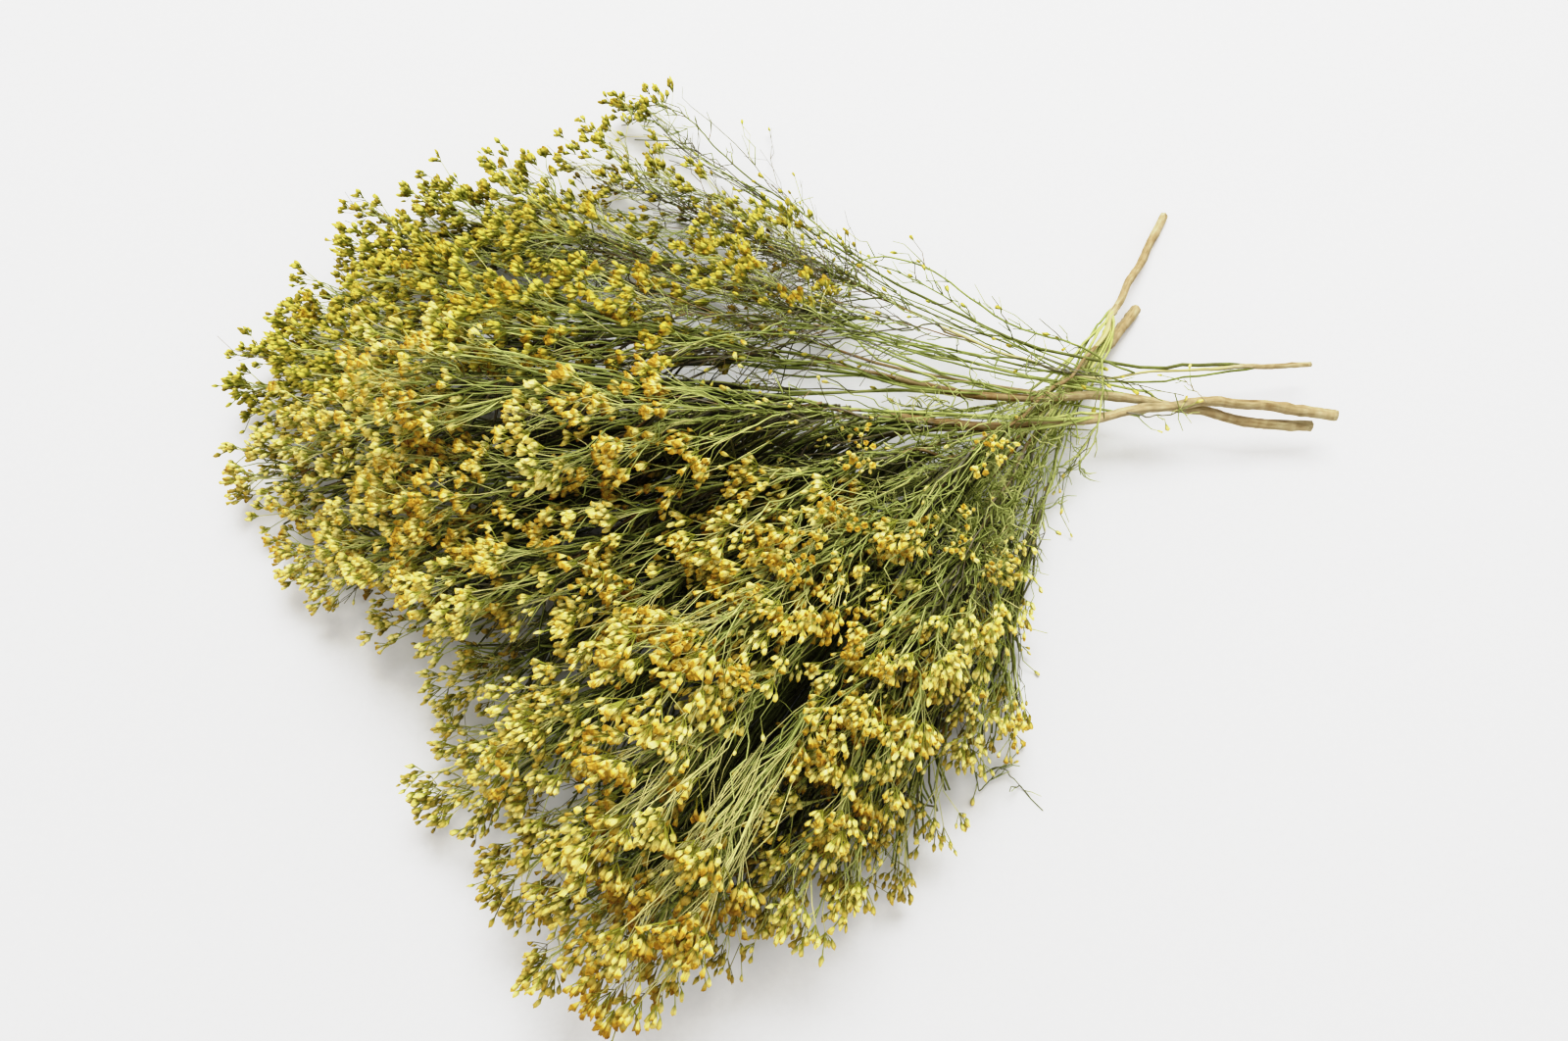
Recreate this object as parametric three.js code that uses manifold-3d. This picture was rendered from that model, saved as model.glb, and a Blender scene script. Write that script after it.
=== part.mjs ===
// A bunch of dried broom bloom, lying loose on a table: five cut stems with their
// limbs, and the flowering sprays that the limbs end in. Millimetres, +Z up.
import * as THREE from 'three';
import Module from 'manifold-3d';

const wasm = await Module();
wasm.setup();

// Whole bunch
const SEED = 4711;
const DRAW_FACTOR = 16807;
const DRAW_RANGE = 2147483647;
const BUNCH_CENTRE = [-1.5, 5.5];
const NODE_CLEARANCE = 0.38;
const CUT_GAP = 0.3;

// A block under the table's surface, which cuts flat what would reach below it
const FLOOR_WIDTH = 1200;
const FLOOR_DEPTH = 60;

// Settling, in rounds and in shares of what a round could move
const SETTLE_ROUNDS = 240;
const SMOOTH_ROUNDS = 180;
const WATCH_RANGE = 30;
const PUSH_SHARE = 0.42;
const SMOOTH_SHARE = 0.25;

// Limbs, from the stem's fork to the first flowering side shoot
const LIMB_STEPS = 5;
const LIMB_SIDES = 3;
const LIMB_BASE_RADIUS = 1.7;
const LIMB_END_RADIUS = 1.25;
const LIMB_PULL = 0.36;
const LIMB_SPLAY = 0.4;
const ROOT_STEP = 0.02;
const LIMB_FLOOR = LIMB_BASE_RADIUS + NODE_CLEARANCE;
const STEM_SIDES = 6;
const STEM_STEPS = 8;

// Sprays, as multiples of the head's radius measured from the head's centre
const TWIG_STEPS = 3;
const TWIG_START = -1.45;
const TWIG_END = 0.15;
const TWIG_END_RADIUS = 1.15;
const STALK_LAG = 0.75;
const STALK_ROOT_RADIUS = 0.45;
const STALK_ROOM = 1.2;
const FIRST_STALK = 0.25;
const LAST_STALK = 0.1;
const HEAD_RISE = 0.12;
const HEAD_FLATNESS = 0.7;
const TIP_FORWARD = 0.6;
const TIP_SPREAD = 0.05;
const RING_FORWARD = 0.45;
const RING_DEPTH = 1.15;
const RING_SPREAD = 0.62;
const GOLDEN_ANGLE = Math.PI * (3 - Math.sqrt(5));

// Bloom clusters: a small core, with a ring of florets round it and one at its tip
const CLUSTER_RADIUS = 14;
const CLUSTER_SHARE = 0.62;
const HEAD_RADIUS_PER_CLUSTER = 6;
const FEWEST_CLUSTERS = 2;
const NECK = { along: -0.74, radius: 0.12 };
const RIM = { along: -0.08, radius: 0.72 };
const CROWN = { along: 0.46, radius: 0.42 };
const CORE_SIDES = 5;
const FLOOR_SINK = 0.8;

// Stems: the route of the woody part from its cut end, and the centre of each
// spray's head with the head's radius, listed from one side of the fan to the other
const STEMS = [
  {
    name: 'stem_1', wood: 0x9c8455, bloom: 0xb39a3a, cutRadius: 3.3, forkRadius: 2.0,
    route: [[307, 53, 26], [265, 56, 33], [221, 56, 36.5], [168, 46, 38.5], [104, 39, 45], [55, 42, 53]],
    fork: 0.56, pivot: [200, 50],
    heads: [
      [-170, 25, 132, 31], [-225, 26, 70, 30], [-272, 20, 27, 28], [-62, 2, 134, 28],
      [-94, 2, 140, 30], [-163, -16, 100, 30], [-240, -25, 26, 28], [-197, -32, 72, 30],
      [-185, -54, 28, 27], [-145, -60, 96, 30], [-92, -36, 104, 29],
    ],
  },
  {
    name: 'stem_2', wood: 0x94794a, bloom: 0xa8953c, cutRadius: 3.1, forkRadius: 2.0,
    route: [
      [296, 50, 18], [259, 50, 24], [225, 55, 30], [190, 60, 34],
      [150, 60, 35.5], [102, 58, 43], [60, 64, 52],
    ],
    fork: 0.5, pivot: [200, 55],
    heads: [
      [-150, 182, 28, 32], [-188, 172, 28, 30], [-222, 150, 30, 28], [-186, 105, 74, 31],
      [-255, 110, 27, 28], [-132, 60, 122, 32], [-230, 68, 66, 30], [-276, 72, 26, 27],
    ],
  },
  {
    name: 'stem_3', wood: 0x8a8650, bloom: 0xa39a48, cutRadius: 1.6, forkRadius: 1.4,
    route: [[300, 87, 20], [262, 83, 25], [223, 80, 28], [172, 74, 31], [126, 82, 41], [85, 96, 50]],
    fork: 0.6, pivot: [200, 75],
    heads: [
      [-90, 256, 20, 13], [-57, 186, 30, 31], [-105, 208, 28, 30], [-16, 142, 54, 28],
      [-125, 130, 82, 31], [-30, 88, 94, 30], [-76, 68, 118, 30],
    ],
  },
  {
    name: 'stem_4', wood: 0x9a8a63, bloom: 0xad9b4c, cutRadius: 2.7, forkRadius: 1.8,
    route: [[232, 195, 2], [212, 158, 10], [193, 125, 18], [179, 98, 25], [146, 51, 31], [104, -7, 38]],
    fork: 0.6, pivot: [190, 110],
    heads: [
      [98, -108, 28, 27], [44, -176, 28, 28], [100, -45, 30, 26], [14, -188, 62, 28],
      [74, -80, 78, 28], [28, -150, 78, 29], [46, -110, 94, 29], [-18, -202, 30, 27], [42, -42, 92, 29],
    ],
  },
  {
    name: 'stem_5', wood: 0x8f7a50, bloom: 0xb5a150, cutRadius: 3.4, forkRadius: 2.0,
    route: [[209, 131, 3], [192, 108, 12], [168, 82, 21], [132, 41, 26], [86, -3, 36]],
    fork: 0.5, pivot: [190, 110],
    heads: [
      [-62, -226, 92, 25], [-46, -202, 112, 27], [-90, -216, 60, 29], [-61, -170, 126, 30],
      [-110, -182, 52, 30], [-42, -112, 132, 31], [-5, -74, 112, 30], [-108, -130, 80, 31],
      [-155, -144, 27, 26], [-14, -32, 98, 29], [-74, -74, 90, 30], [-150, -92, 27, 27], [-42, -6, 72, 28],
    ],
  },
];

// A direction steeper than this isn't measured against the upright, and rods shorter
// or more nearly parallel than this are taken as points or as parallel
const STEEP = 0.9;
const TINY = 1e-9;
const LEAST_DISTANCE = 1e-6;

// Vectors as plain arrays
const add = (a, b) => [a[0] + b[0], a[1] + b[1], a[2] + b[2]];
const sub = (a, b) => [a[0] - b[0], a[1] - b[1], a[2] - b[2]];
const scale = (a, k) => [a[0] * k, a[1] * k, a[2] * k];
const dot = (a, b) => a[0] * b[0] + a[1] * b[1] + a[2] * b[2];
const cross = (a, b) => [a[1] * b[2] - a[2] * b[1], a[2] * b[0] - a[0] * b[2], a[0] * b[1] - a[1] * b[0]];
const length = (a) => Math.sqrt(dot(a, a));
const unit = (a) => scale(a, 1 / length(a));
const mix = (a, b, k) => add(scale(a, 1 - k), scale(b, k));

// A repeatable draw between 0 and 1
function makeDraw(seed) {
  let state = seed;
  return () => {
    state = (state * DRAW_FACTOR) % DRAW_RANGE;
    return state / DRAW_RANGE;
  };
}

// Smooth route through the points, at t from 0 to 1
function onRoute(points, t) {
  const last = points.length - 1;
  const at = Math.min(Math.floor(t * last), last - 1);
  const k = t * last - at;
  const before = at > 0 ? points[at - 1] : sub(scale(points[0], 2), points[1]);
  const after = at + 2 <= last ? points[at + 2] : sub(scale(points[last], 2), points[last - 1]);
  return [0, 1, 2].map((axis) => {
    const [a, b, c, d] = [before[axis], points[at][axis], points[at + 1][axis], after[axis]];
    return 0.5 * (2 * b + (c - a) * k + (2 * a - 5 * b + 4 * c - d) * k * k
      + (3 * b - a - 3 * c + d) * k * k * k);
  });
}

function onBezier(a, b, c, d, t) {
  const s = 1 - t;
  const near = add(scale(a, s * s * s), scale(b, 3 * s * s * t));
  const far = add(scale(c, 3 * s * t * t), scale(d, t * t * t));
  return add(near, far);
}

// Two directions square to the given one, the first as near upright as it can be
function frameOf(direction) {
  const guide = Math.abs(direction[2]) < STEEP ? [0, 0, 1] : [1, 0, 0];
  const side = unit(cross(direction, guide));
  return [cross(side, direction), side];
}

// Layout: every point of the plants is a particle, and every piece a rod between two
// of them. Rods of different nodes push each other apart until they are clear.
const particles = [];
const rods = [];

function addParticle(place, fixed, floor) {
  particles.push({ place, start: place, fixed, floor, chain: null });
  return particles.length - 1;
}

function addRod(from, to, radius, node, joint, bloom = -1) {
  rods.push({ from, to, radius, node, joint, bloom, ball: from[0][0] === to[0][0] });
}

const anchor = (index) => [[index, 1]];
const between = (a, b, k) => [[a, 1 - k], [b, k]];

function locate(ends) {
  return ends.reduce((sum, [index, weight]) => add(sum, scale(particles[index].place, weight)), [0, 0, 0]);
}

const limbRadius = (step) => LIMB_BASE_RADIUS + (LIMB_END_RADIUS - LIMB_BASE_RADIUS) * step / LIMB_STEPS;
const stemRadius = (stem, step) => stem.cutRadius + (stem.forkRadius - stem.cutRadius) * step / STEM_STEPS;

// The limb that carries a spray: it leaves the woody stem along it, the outer limbs
// first, and comes round to the way that the spray grows
function layOutLimb(stem, order, base, growth, sprayName) {
  const middle = (stem.heads.length - 1) / 2;
  const leave = 1 - (1 - stem.fork) * Math.abs(order - middle) / middle;
  const root = onRoute(stem.route, leave);
  const woodyWay = unit(sub(root, onRoute(stem.route, leave - ROOT_STEP)));
  const straight = sub(base, root);
  const pull = LIMB_PULL * length(straight);
  const near = add(root, scale(unit(mix(woodyWay, unit(straight), LIMB_SPLAY)), pull));
  const far = sub(base, scale(growth, pull));
  const limb = [addParticle(root, true, 0)];
  for (let step = 1; step <= LIMB_STEPS; step += 1) {
    limb.push(addParticle(onBezier(root, near, far, base, step / LIMB_STEPS), false, LIMB_FLOOR));
  }
  for (let step = 0; step < LIMB_STEPS; step += 1) {
    const joint = step === LIMB_STEPS - 1 ? sprayName : '';
    addRod(anchor(limb[step]), anchor(limb[step + 1]), limbRadius(step), stem.name, joint);
  }
  return limb;
}

// The twig that the limb goes on as, straight through the head of the spray
function layOutTwig(start, placeAt, name) {
  const twig = [start];
  for (let step = 1; step <= TWIG_STEPS; step += 1) {
    const reach = TWIG_START + (TWIG_END - TWIG_START) * step / TWIG_STEPS;
    twig.push(addParticle(placeAt(reach), false, LIMB_FLOOR));
    addRod(anchor(twig[step - 1]), anchor(twig[step]), LIMB_END_RADIUS, name, step === 1 ? name : '');
  }
  return twig;
}

// Where on the twig a stalk starts, for a cluster that stands that far forward
function stalkRootOf(twig, forward) {
  const steps = TWIG_STEPS * (forward - STALK_LAG - TWIG_START) / (TWIG_END - TWIG_START);
  const reach = Math.min(Math.max(steps, FIRST_STALK), TWIG_STEPS - LAST_STALK);
  const rung = Math.floor(reach);
  return between(twig[rung], twig[rung + 1], reach - rung);
}

// The clusters stand round the twig by the golden angle, from the tip of the head back
function layOutSpray(stem, head, order, draw) {
  const [x, y, z, headRadius] = head;
  const [outX, outY] = [x - stem.pivot[0], y - stem.pivot[1]];
  const growth = unit([outX, outY, HEAD_RISE * Math.sqrt(outX * outX + outY * outY)]);
  const [up, side] = frameOf(growth);
  const name = `spray_${stem.name.slice(-1)}_${order + 1}`;
  const placeAt = (forward) => add([x, y, z], scale(growth, forward * headRadius));
  const limb = layOutLimb(stem, order, placeAt(TWIG_START), growth, name);
  const twig = layOutTwig(limb[LIMB_STEPS], placeAt, name);
  const chain = limb.concat(twig.slice(1));
  for (let step = 1; step < chain.length - 1; step += 1) {
    particles[chain[step]].chain = [chain[step - 1], chain[step + 1]];
  }

  const count = Math.max(FEWEST_CLUSTERS, Math.round(headRadius / HEAD_RADIUS_PER_CLUSTER));
  const size = Math.min(CLUSTER_RADIUS, headRadius * CLUSTER_SHARE);
  const firstTurn = draw() * 2 * Math.PI;
  const clusters = [];
  for (let index = 0; index < count; index += 1) {
    const forward = index === 0 ? TIP_FORWARD : RING_FORWARD - RING_DEPTH * index / (count - 1);
    const spread = index === 0 ? TIP_SPREAD : RING_SPREAD;
    const turn = firstTurn + index * GOLDEN_ANGLE;
    const radial = add(scale(up, Math.cos(turn) * HEAD_FLATNESS), scale(side, Math.sin(turn)));
    const bloom = add(placeAt(forward), scale(radial, spread * headRadius));
    const particle = addParticle(bloom, false, FLOOR_SINK * size);
    const stalkRoot = stalkRootOf(twig, index === 0 ? Infinity : forward);
    addRod(stalkRoot, anchor(particle), STALK_ROOM, name, '', index);
    addRod(anchor(particle), anchor(particle), size, name, '', index);
    clusters.push({ particle, stalkRoot, size, roll: draw() * 2 * Math.PI });
  }
  return { name, limb, twig, clusters };
}

// Nearest points of two rods, as shares of their lengths
function nearest(p, q, r, s) {
  const [d, e, w] = [sub(q, p), sub(s, r), sub(p, r)];
  const [a, b, c, f, g] = [dot(d, d), dot(d, e), dot(e, e), dot(d, w), dot(e, w)];
  const clamp = (value) => Math.min(Math.max(value, 0), 1);
  const spread = a * c - b * b;
  let k = spread > TINY ? clamp((b * g - c * f) / spread) : 0;
  const m = c > TINY ? clamp((b * k + g) / c) : 0;
  k = a > TINY ? clamp((b * m - f) / a) : 0;
  return [k, m];
}

// How far two rods are short of being clear, and the way from the second to the first
function shortfall(one, two) {
  const [a, b, c, d] = [locate(one.from), locate(one.to), locate(two.from), locate(two.to)];
  const [k, m] = nearest(a, b, c, d);
  const away = sub(mix(a, b, k), mix(c, d, m));
  const distance = length(away);
  return { k, m, away, distance, short: one.radius + two.radius + NODE_CLEARANCE - distance };
}

function closePairs() {
  const pairs = [];
  rods.forEach((one, i) => {
    rods.slice(i + 1).forEach((two) => {
      const joined = one.joint !== '' && one.joint === two.joint;
      const sisters = one.node === two.node && one.bloom >= 0 && two.bloom >= 0
        && one.bloom !== two.bloom && (one.ball || two.ball);
      const strangers = one.node !== two.node && !joined;
      if ((sisters || strangers) && shortfall(one, two).short > -WATCH_RANGE) {
        pairs.push([one, two]);
      }
    });
  });
  return pairs;
}

function pushApart(pairs) {
  const moves = particles.map(() => [0, 0, 0]);
  const share = (ends, push, weight) => ends.forEach(([index, part]) => {
    moves[index] = add(moves[index], scale(push, weight * part));
  });
  pairs.forEach(([one, two]) => {
    const { k, m, away, distance, short } = shortfall(one, two);
    if (short > 0) {
      const push = scale(away, PUSH_SHARE * short / Math.max(distance, LEAST_DISTANCE));
      share(one.from, push, 1 - k);
      share(one.to, push, k);
      share(two.from, push, m - 1);
      share(two.to, push, -m);
    }
  });
  particles.forEach((particle, index) => {
    if (!particle.fixed) {
      particle.place = add(particle.place, moves[index]);
      particle.place[2] = Math.max(particle.place[2], particle.floor);
    }
  });
}

// A limb that is pushed aside bends as a whole instead of kinking
function smoothLimbs() {
  const shifts = particles.map((particle) => sub(particle.place, particle.start));
  particles.forEach((particle, index) => {
    if (particle.chain) {
      const [before, after] = particle.chain;
      const even = scale(add(shifts[before], shifts[after]), 0.5);
      particle.place = add(particle.start, mix(shifts[index], even, SMOOTH_SHARE));
    }
  });
}

function settle() {
  const pairs = closePairs();
  for (let round = 0; round < SETTLE_ROUNDS; round += 1) {
    pushApart(pairs);
    if (round < SMOOTH_ROUNDS) {
      smoothLimbs();
    }
  }
}

// Solids, as lists of corners and triangles
class Solid {
  constructor() {
    this.corners = [];
    this.triangles = [];
  }

  corner(place) {
    this.corners.push(place);
    return this.corners.length - 1;
  }

  ring(centre, direction, radius, sides, turn) {
    const [up, side] = frameOf(direction);
    const ring = [];
    for (let index = 0; index < sides; index += 1) {
      const angle = turn + 2 * Math.PI * index / sides;
      const offset = add(scale(up, Math.cos(angle) * radius), scale(side, Math.sin(angle) * radius));
      ring.push(this.corner(add(centre, offset)));
    }
    return ring;
  }

  band(low, high) {
    low.forEach((corner, index) => {
      const next = (index + 1) % low.length;
      this.triangles.push([corner, low[next], high[index]], [low[next], high[next], high[index]]);
    });
  }

  cap(ring, facingBack) {
    for (let index = 1; index < ring.length - 1; index += 1) {
      const [a, b, c] = [ring[0], ring[index], ring[index + 1]];
      this.triangles.push(facingBack ? [a, c, b] : [a, b, c]);
    }
  }

  manifold() {
    return new wasm.Manifold(new wasm.Mesh({
      numProp: 3,
      vertProperties: Float32Array.from(this.corners.flat()),
      triVerts: Uint32Array.from(this.triangles.flat()),
    }));
  }
}

// Round rod through the points, tapering with the radii, and closed at both ends
function tube(points, radii, sides) {
  const solid = new Solid();
  let low = null;
  points.forEach((point, index) => {
    const ahead = points[Math.min(index + 1, points.length - 1)];
    const behind = points[Math.max(index - 1, 0)];
    const ring = solid.ring(point, unit(sub(ahead, behind)), radii[index], sides, 0);
    if (low) {
      solid.band(low, ring);
    } else {
      solid.cap(ring, true);
    }
    low = ring;
  });
  solid.cap(low, false);
  return solid.manifold();
}

// Stalk and bloom cluster in one solid: the stalk widens into a smooth cup, with five
// florets round the cup's rim and a sixth at the tip
function bloomCluster(root, centre, size, roll) {
  const solid = new Solid();
  const axis = unit(sub(centre, root));
  const ringAt = ({ along, radius }, sides) => (
    solid.ring(add(centre, scale(axis, along * size)), axis, radius * size, sides, roll)
  );
  const stalk = solid.ring(root, axis, STALK_ROOT_RADIUS, LIMB_SIDES, roll);
  const neck = ringAt(NECK, LIMB_SIDES);
  const rim = ringAt(RIM, CORE_SIDES);
  const crown = ringAt(CROWN, CORE_SIDES);
  solid.cap(stalk, true);
  solid.band(stalk, neck);
  solid.triangles.push(
    [neck[0], rim[1], rim[0]], [neck[0], neck[1], rim[1]], [neck[1], rim[2], rim[1]],
    [neck[1], rim[3], rim[2]], [neck[1], neck[2], rim[3]], [neck[2], rim[4], rim[3]],
    [neck[2], neck[0], rim[4]], [neck[0], rim[0], rim[4]],
  );
  const floret = (facet) => {
    const places = facet.map((corner) => solid.corners[corner]);
    const middle = scale(places.reduce(add), 1 / facet.length);
    const tip = solid.corner(add(centre, scale(unit(sub(middle, centre)), size)));
    facet.forEach((corner, index) => {
      solid.triangles.push([corner, facet[(index + 1) % facet.length], tip]);
    });
  };
  rim.forEach((corner, index) => {
    const next = (index + 1) % CORE_SIDES;
    floret([corner, rim[next], crown[next], crown[index]]);
  });
  floret(crown);
  return solid.manifold();
}

const floorBlock = (() => {
  const box = new THREE.BoxGeometry(FLOOR_WIDTH, FLOOR_WIDTH, FLOOR_DEPTH);
  const places = box.getAttribute('position');
  const solid = new Solid();
  const known = new Map();
  const corners = [];
  for (let index = 0; index < places.count; index += 1) {
    const place = [places.getX(index), places.getY(index), places.getZ(index) - FLOOR_DEPTH / 2];
    const key = place.join();
    if (!known.has(key)) {
      known.set(key, solid.corner(place));
    }
    corners.push(known.get(key));
  }
  const order = box.getIndex().array;
  for (let index = 0; index < order.length; index += 3) {
    solid.triangles.push([corners[order[index]], corners[order[index + 1]], corners[order[index + 2]]]);
  }
  return solid.manifold();
})();

function meshOf(name, solid, color, roughness) {
  const { vertProperties, triVerts } = solid.subtract(floorBlock).getMesh();
  const places = Float32Array.from(vertProperties);
  for (let index = 0; index < places.length; index += 3) {
    places[index] -= BUNCH_CENTRE[0];
    places[index + 1] -= BUNCH_CENTRE[1];
  }
  const geometry = new THREE.BufferGeometry();
  geometry.setAttribute('position', new THREE.BufferAttribute(places, 3));
  geometry.setIndex(Array.from(triVerts));
  geometry.computeVertexNormals();
  const material = new THREE.MeshStandardMaterial({ color, roughness, metalness: 0, flatShading: true });
  const mesh = new THREE.Mesh(geometry, material);
  mesh.name = name;
  return mesh;
}

function stemSolid(stem, sprays) {
  const points = [];
  const radii = [];
  for (let step = 0; step <= STEM_STEPS; step += 1) {
    points.push(onRoute(stem.route, step / STEM_STEPS));
    radii.push(stemRadius(stem, step));
  }
  let solid = tube(points, radii, STEM_SIDES);
  sprays.forEach(({ limb }) => {
    const line = limb.map((index) => particles[index].place);
    const end = line[LIMB_STEPS];
    line[LIMB_STEPS] = sub(end, scale(unit(sub(end, line[LIMB_STEPS - 1])), CUT_GAP / 2));
    solid = solid.add(tube(line, line.map((_, step) => limbRadius(step)), LIMB_SIDES));
  });
  return solid;
}

function spraySolid({ twig, clusters }) {
  const line = twig.map((index) => particles[index].place);
  line[0] = add(line[0], scale(unit(sub(line[1], line[0])), CUT_GAP / 2));
  const widths = line.map((_, step) => (
    LIMB_END_RADIUS + (TWIG_END_RADIUS - LIMB_END_RADIUS) * step / TWIG_STEPS
  ));
  let solid = tube(line, widths, LIMB_SIDES);
  clusters.forEach(({ particle, stalkRoot, size, roll }) => {
    solid = solid.add(bloomCluster(locate(stalkRoot), particles[particle].place, size, roll));
  });
  return solid;
}

const draw = makeDraw(SEED);
STEMS.forEach((stem) => {
  for (let step = 0; step < STEM_STEPS; step += 1) {
    const from = addParticle(onRoute(stem.route, step / STEM_STEPS), true, 0);
    const to = addParticle(onRoute(stem.route, (step + 1) / STEM_STEPS), true, 0);
    addRod(anchor(from), anchor(to), stemRadius(stem, step), stem.name, '');
  }
});
const sprays = STEMS.map((stem) => stem.heads.map((head, order) => layOutSpray(stem, head, order, draw)));
settle();

const bunch = new THREE.Group();
STEMS.forEach((stem, index) => {
  bunch.add(meshOf(stem.name, stemSolid(stem, sprays[index]), stem.wood, 0.85));
  sprays[index].forEach((spray) => {
    bunch.add(meshOf(spray.name, spraySolid(spray), stem.bloom, 0.8));
  });
});

export default bunch;
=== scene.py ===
"""A loose bunch of dried broom bloom on a pale table.

The CAD frame gives five stems and the clusters of bloom that their limbs end in. This
script lays the same plants out again by the same rule, and grows the fine parts on
them: round bark, green side stems, pedicels and the single flower heads. The layout is
in millimetres, as in the frame's source, and each mesh is moved to the frame.
"""

import math
from types import SimpleNamespace

import bpy
import numpy as np
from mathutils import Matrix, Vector


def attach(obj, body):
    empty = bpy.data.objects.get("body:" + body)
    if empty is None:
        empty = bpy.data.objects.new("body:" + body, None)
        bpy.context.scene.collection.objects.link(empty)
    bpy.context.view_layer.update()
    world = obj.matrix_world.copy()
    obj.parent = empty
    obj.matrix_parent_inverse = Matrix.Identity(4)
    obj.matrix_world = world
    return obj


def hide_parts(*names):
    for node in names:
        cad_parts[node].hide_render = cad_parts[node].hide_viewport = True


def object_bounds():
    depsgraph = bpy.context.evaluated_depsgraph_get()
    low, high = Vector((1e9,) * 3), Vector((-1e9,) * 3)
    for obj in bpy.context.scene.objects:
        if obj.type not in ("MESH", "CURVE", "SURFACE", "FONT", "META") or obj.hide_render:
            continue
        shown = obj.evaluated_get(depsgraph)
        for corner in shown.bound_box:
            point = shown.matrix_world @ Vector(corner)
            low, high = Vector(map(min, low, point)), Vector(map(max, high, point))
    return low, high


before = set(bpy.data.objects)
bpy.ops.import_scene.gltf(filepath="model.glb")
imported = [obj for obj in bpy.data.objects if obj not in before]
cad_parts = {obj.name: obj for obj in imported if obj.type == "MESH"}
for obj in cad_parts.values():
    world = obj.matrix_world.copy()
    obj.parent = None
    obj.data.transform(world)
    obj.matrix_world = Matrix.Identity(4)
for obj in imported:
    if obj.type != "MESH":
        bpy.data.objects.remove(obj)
CAD_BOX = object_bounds()

# The frame's plants, from the same values as the solids
SEED = 4711
BUNCH_CENTRE = np.array([-1.5, 5.5, 0.0])
NODE_CLEARANCE = 0.38
SETTLE_ROUNDS = 240
SMOOTH_ROUNDS = 180
WATCH_RANGE = 30
PUSH_SHARE = 0.42
SMOOTH_SHARE = 0.25
LIMB_STEPS = 5
LIMB_BASE_RADIUS = 1.7
LIMB_END_RADIUS = 1.25
LIMB_PULL = 0.36
LIMB_SPLAY = 0.4
LIMB_FLOOR = LIMB_BASE_RADIUS + NODE_CLEARANCE
STEM_STEPS = 8
TWIG_STEPS = 3
LINE_END = LIMB_STEPS + TWIG_STEPS
TWIG_START = -1.45
TWIG_END = 0.15
STALK_LAG = 0.75
STALK_ROOM = 1.2
FIRST_STALK = 0.25
LAST_STALK = 0.1
HEAD_RISE = 0.12
HEAD_FLATNESS = 0.7
TIP_FORWARD = 0.6
TIP_SPREAD = 0.05
RING_FORWARD = 0.45
RING_DEPTH = 1.15
RING_SPREAD = 0.62
GOLDEN_ANGLE = math.pi * (3 - math.sqrt(5))
CLUSTER_RADIUS = 14
SIZE_SHARE = 0.62
HEAD_RADIUS_PER_CLUSTER = 6
FLOOR_SINK = 0.8

# Radii at the cut and at the end, where the lowest limb leaves, the place that the limbs
# point away from, the stem's route, and its heads: their centres and radii
STEMS = [
    {
        "name": "stem_1", "cut": 3.3, "end": 2.0, "fork": 0.56, "pivot": (200, 50),
        "route": [(307, 53, 26), (265, 56, 33), (221, 56, 36.5), (168, 46, 38.5),
                  (104, 39, 45), (55, 42, 53)],
        "heads": [(-170, 25, 132, 31), (-225, 26, 70, 30), (-272, 20, 27, 28),
                  (-62, 2, 134, 28), (-94, 2, 140, 30), (-163, -16, 100, 30),
                  (-240, -25, 26, 28), (-197, -32, 72, 30), (-185, -54, 28, 27),
                  (-145, -60, 96, 30), (-92, -36, 104, 29)],
    },
    {
        "name": "stem_2", "cut": 3.1, "end": 2.0, "fork": 0.5, "pivot": (200, 55),
        "route": [(296, 50, 18), (259, 50, 24), (225, 55, 30), (190, 60, 34),
                  (150, 60, 35.5), (102, 58, 43), (60, 64, 52)],
        "heads": [(-150, 182, 28, 32), (-188, 172, 28, 30), (-222, 150, 30, 28),
                  (-186, 105, 74, 31), (-255, 110, 27, 28), (-132, 60, 122, 32),
                  (-230, 68, 66, 30), (-276, 72, 26, 27)],
    },
    {
        "name": "stem_3", "cut": 1.6, "end": 1.4, "fork": 0.6, "pivot": (200, 75),
        "route": [(300, 87, 20), (262, 83, 25), (223, 80, 28), (172, 74, 31),
                  (126, 82, 41), (85, 96, 50)],
        "heads": [(-90, 256, 20, 13), (-57, 186, 30, 31), (-105, 208, 28, 30),
                  (-16, 142, 54, 28), (-125, 130, 82, 31), (-30, 88, 94, 30),
                  (-76, 68, 118, 30)],
    },
    {
        "name": "stem_4", "cut": 2.7, "end": 1.8, "fork": 0.6, "pivot": (190, 110),
        "route": [(232, 195, 2), (212, 158, 10), (193, 125, 18), (179, 98, 25),
                  (146, 51, 31), (104, -7, 38)],
        "heads": [(98, -108, 28, 27), (44, -176, 28, 28), (100, -45, 30, 26),
                  (14, -188, 62, 28), (74, -80, 78, 28), (28, -150, 78, 29),
                  (46, -110, 94, 29), (-18, -202, 30, 27), (42, -42, 92, 29)],
    },
    {
        "name": "stem_5", "cut": 3.4, "end": 2.0, "fork": 0.5, "pivot": (190, 110),
        "route": [(209, 131, 3), (192, 108, 12), (168, 82, 21), (132, 41, 26),
                  (86, -3, 36)],
        "heads": [(-62, -226, 92, 25), (-46, -202, 112, 27), (-90, -216, 60, 29),
                  (-61, -170, 126, 30), (-110, -182, 52, 30), (-42, -112, 132, 31),
                  (-5, -74, 112, 30), (-108, -130, 80, 31), (-155, -144, 27, 26),
                  (-14, -32, 98, 29), (-74, -74, 90, 30), (-150, -92, 27, 27),
                  (-42, -6, 72, 28)],
    },
]

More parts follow.
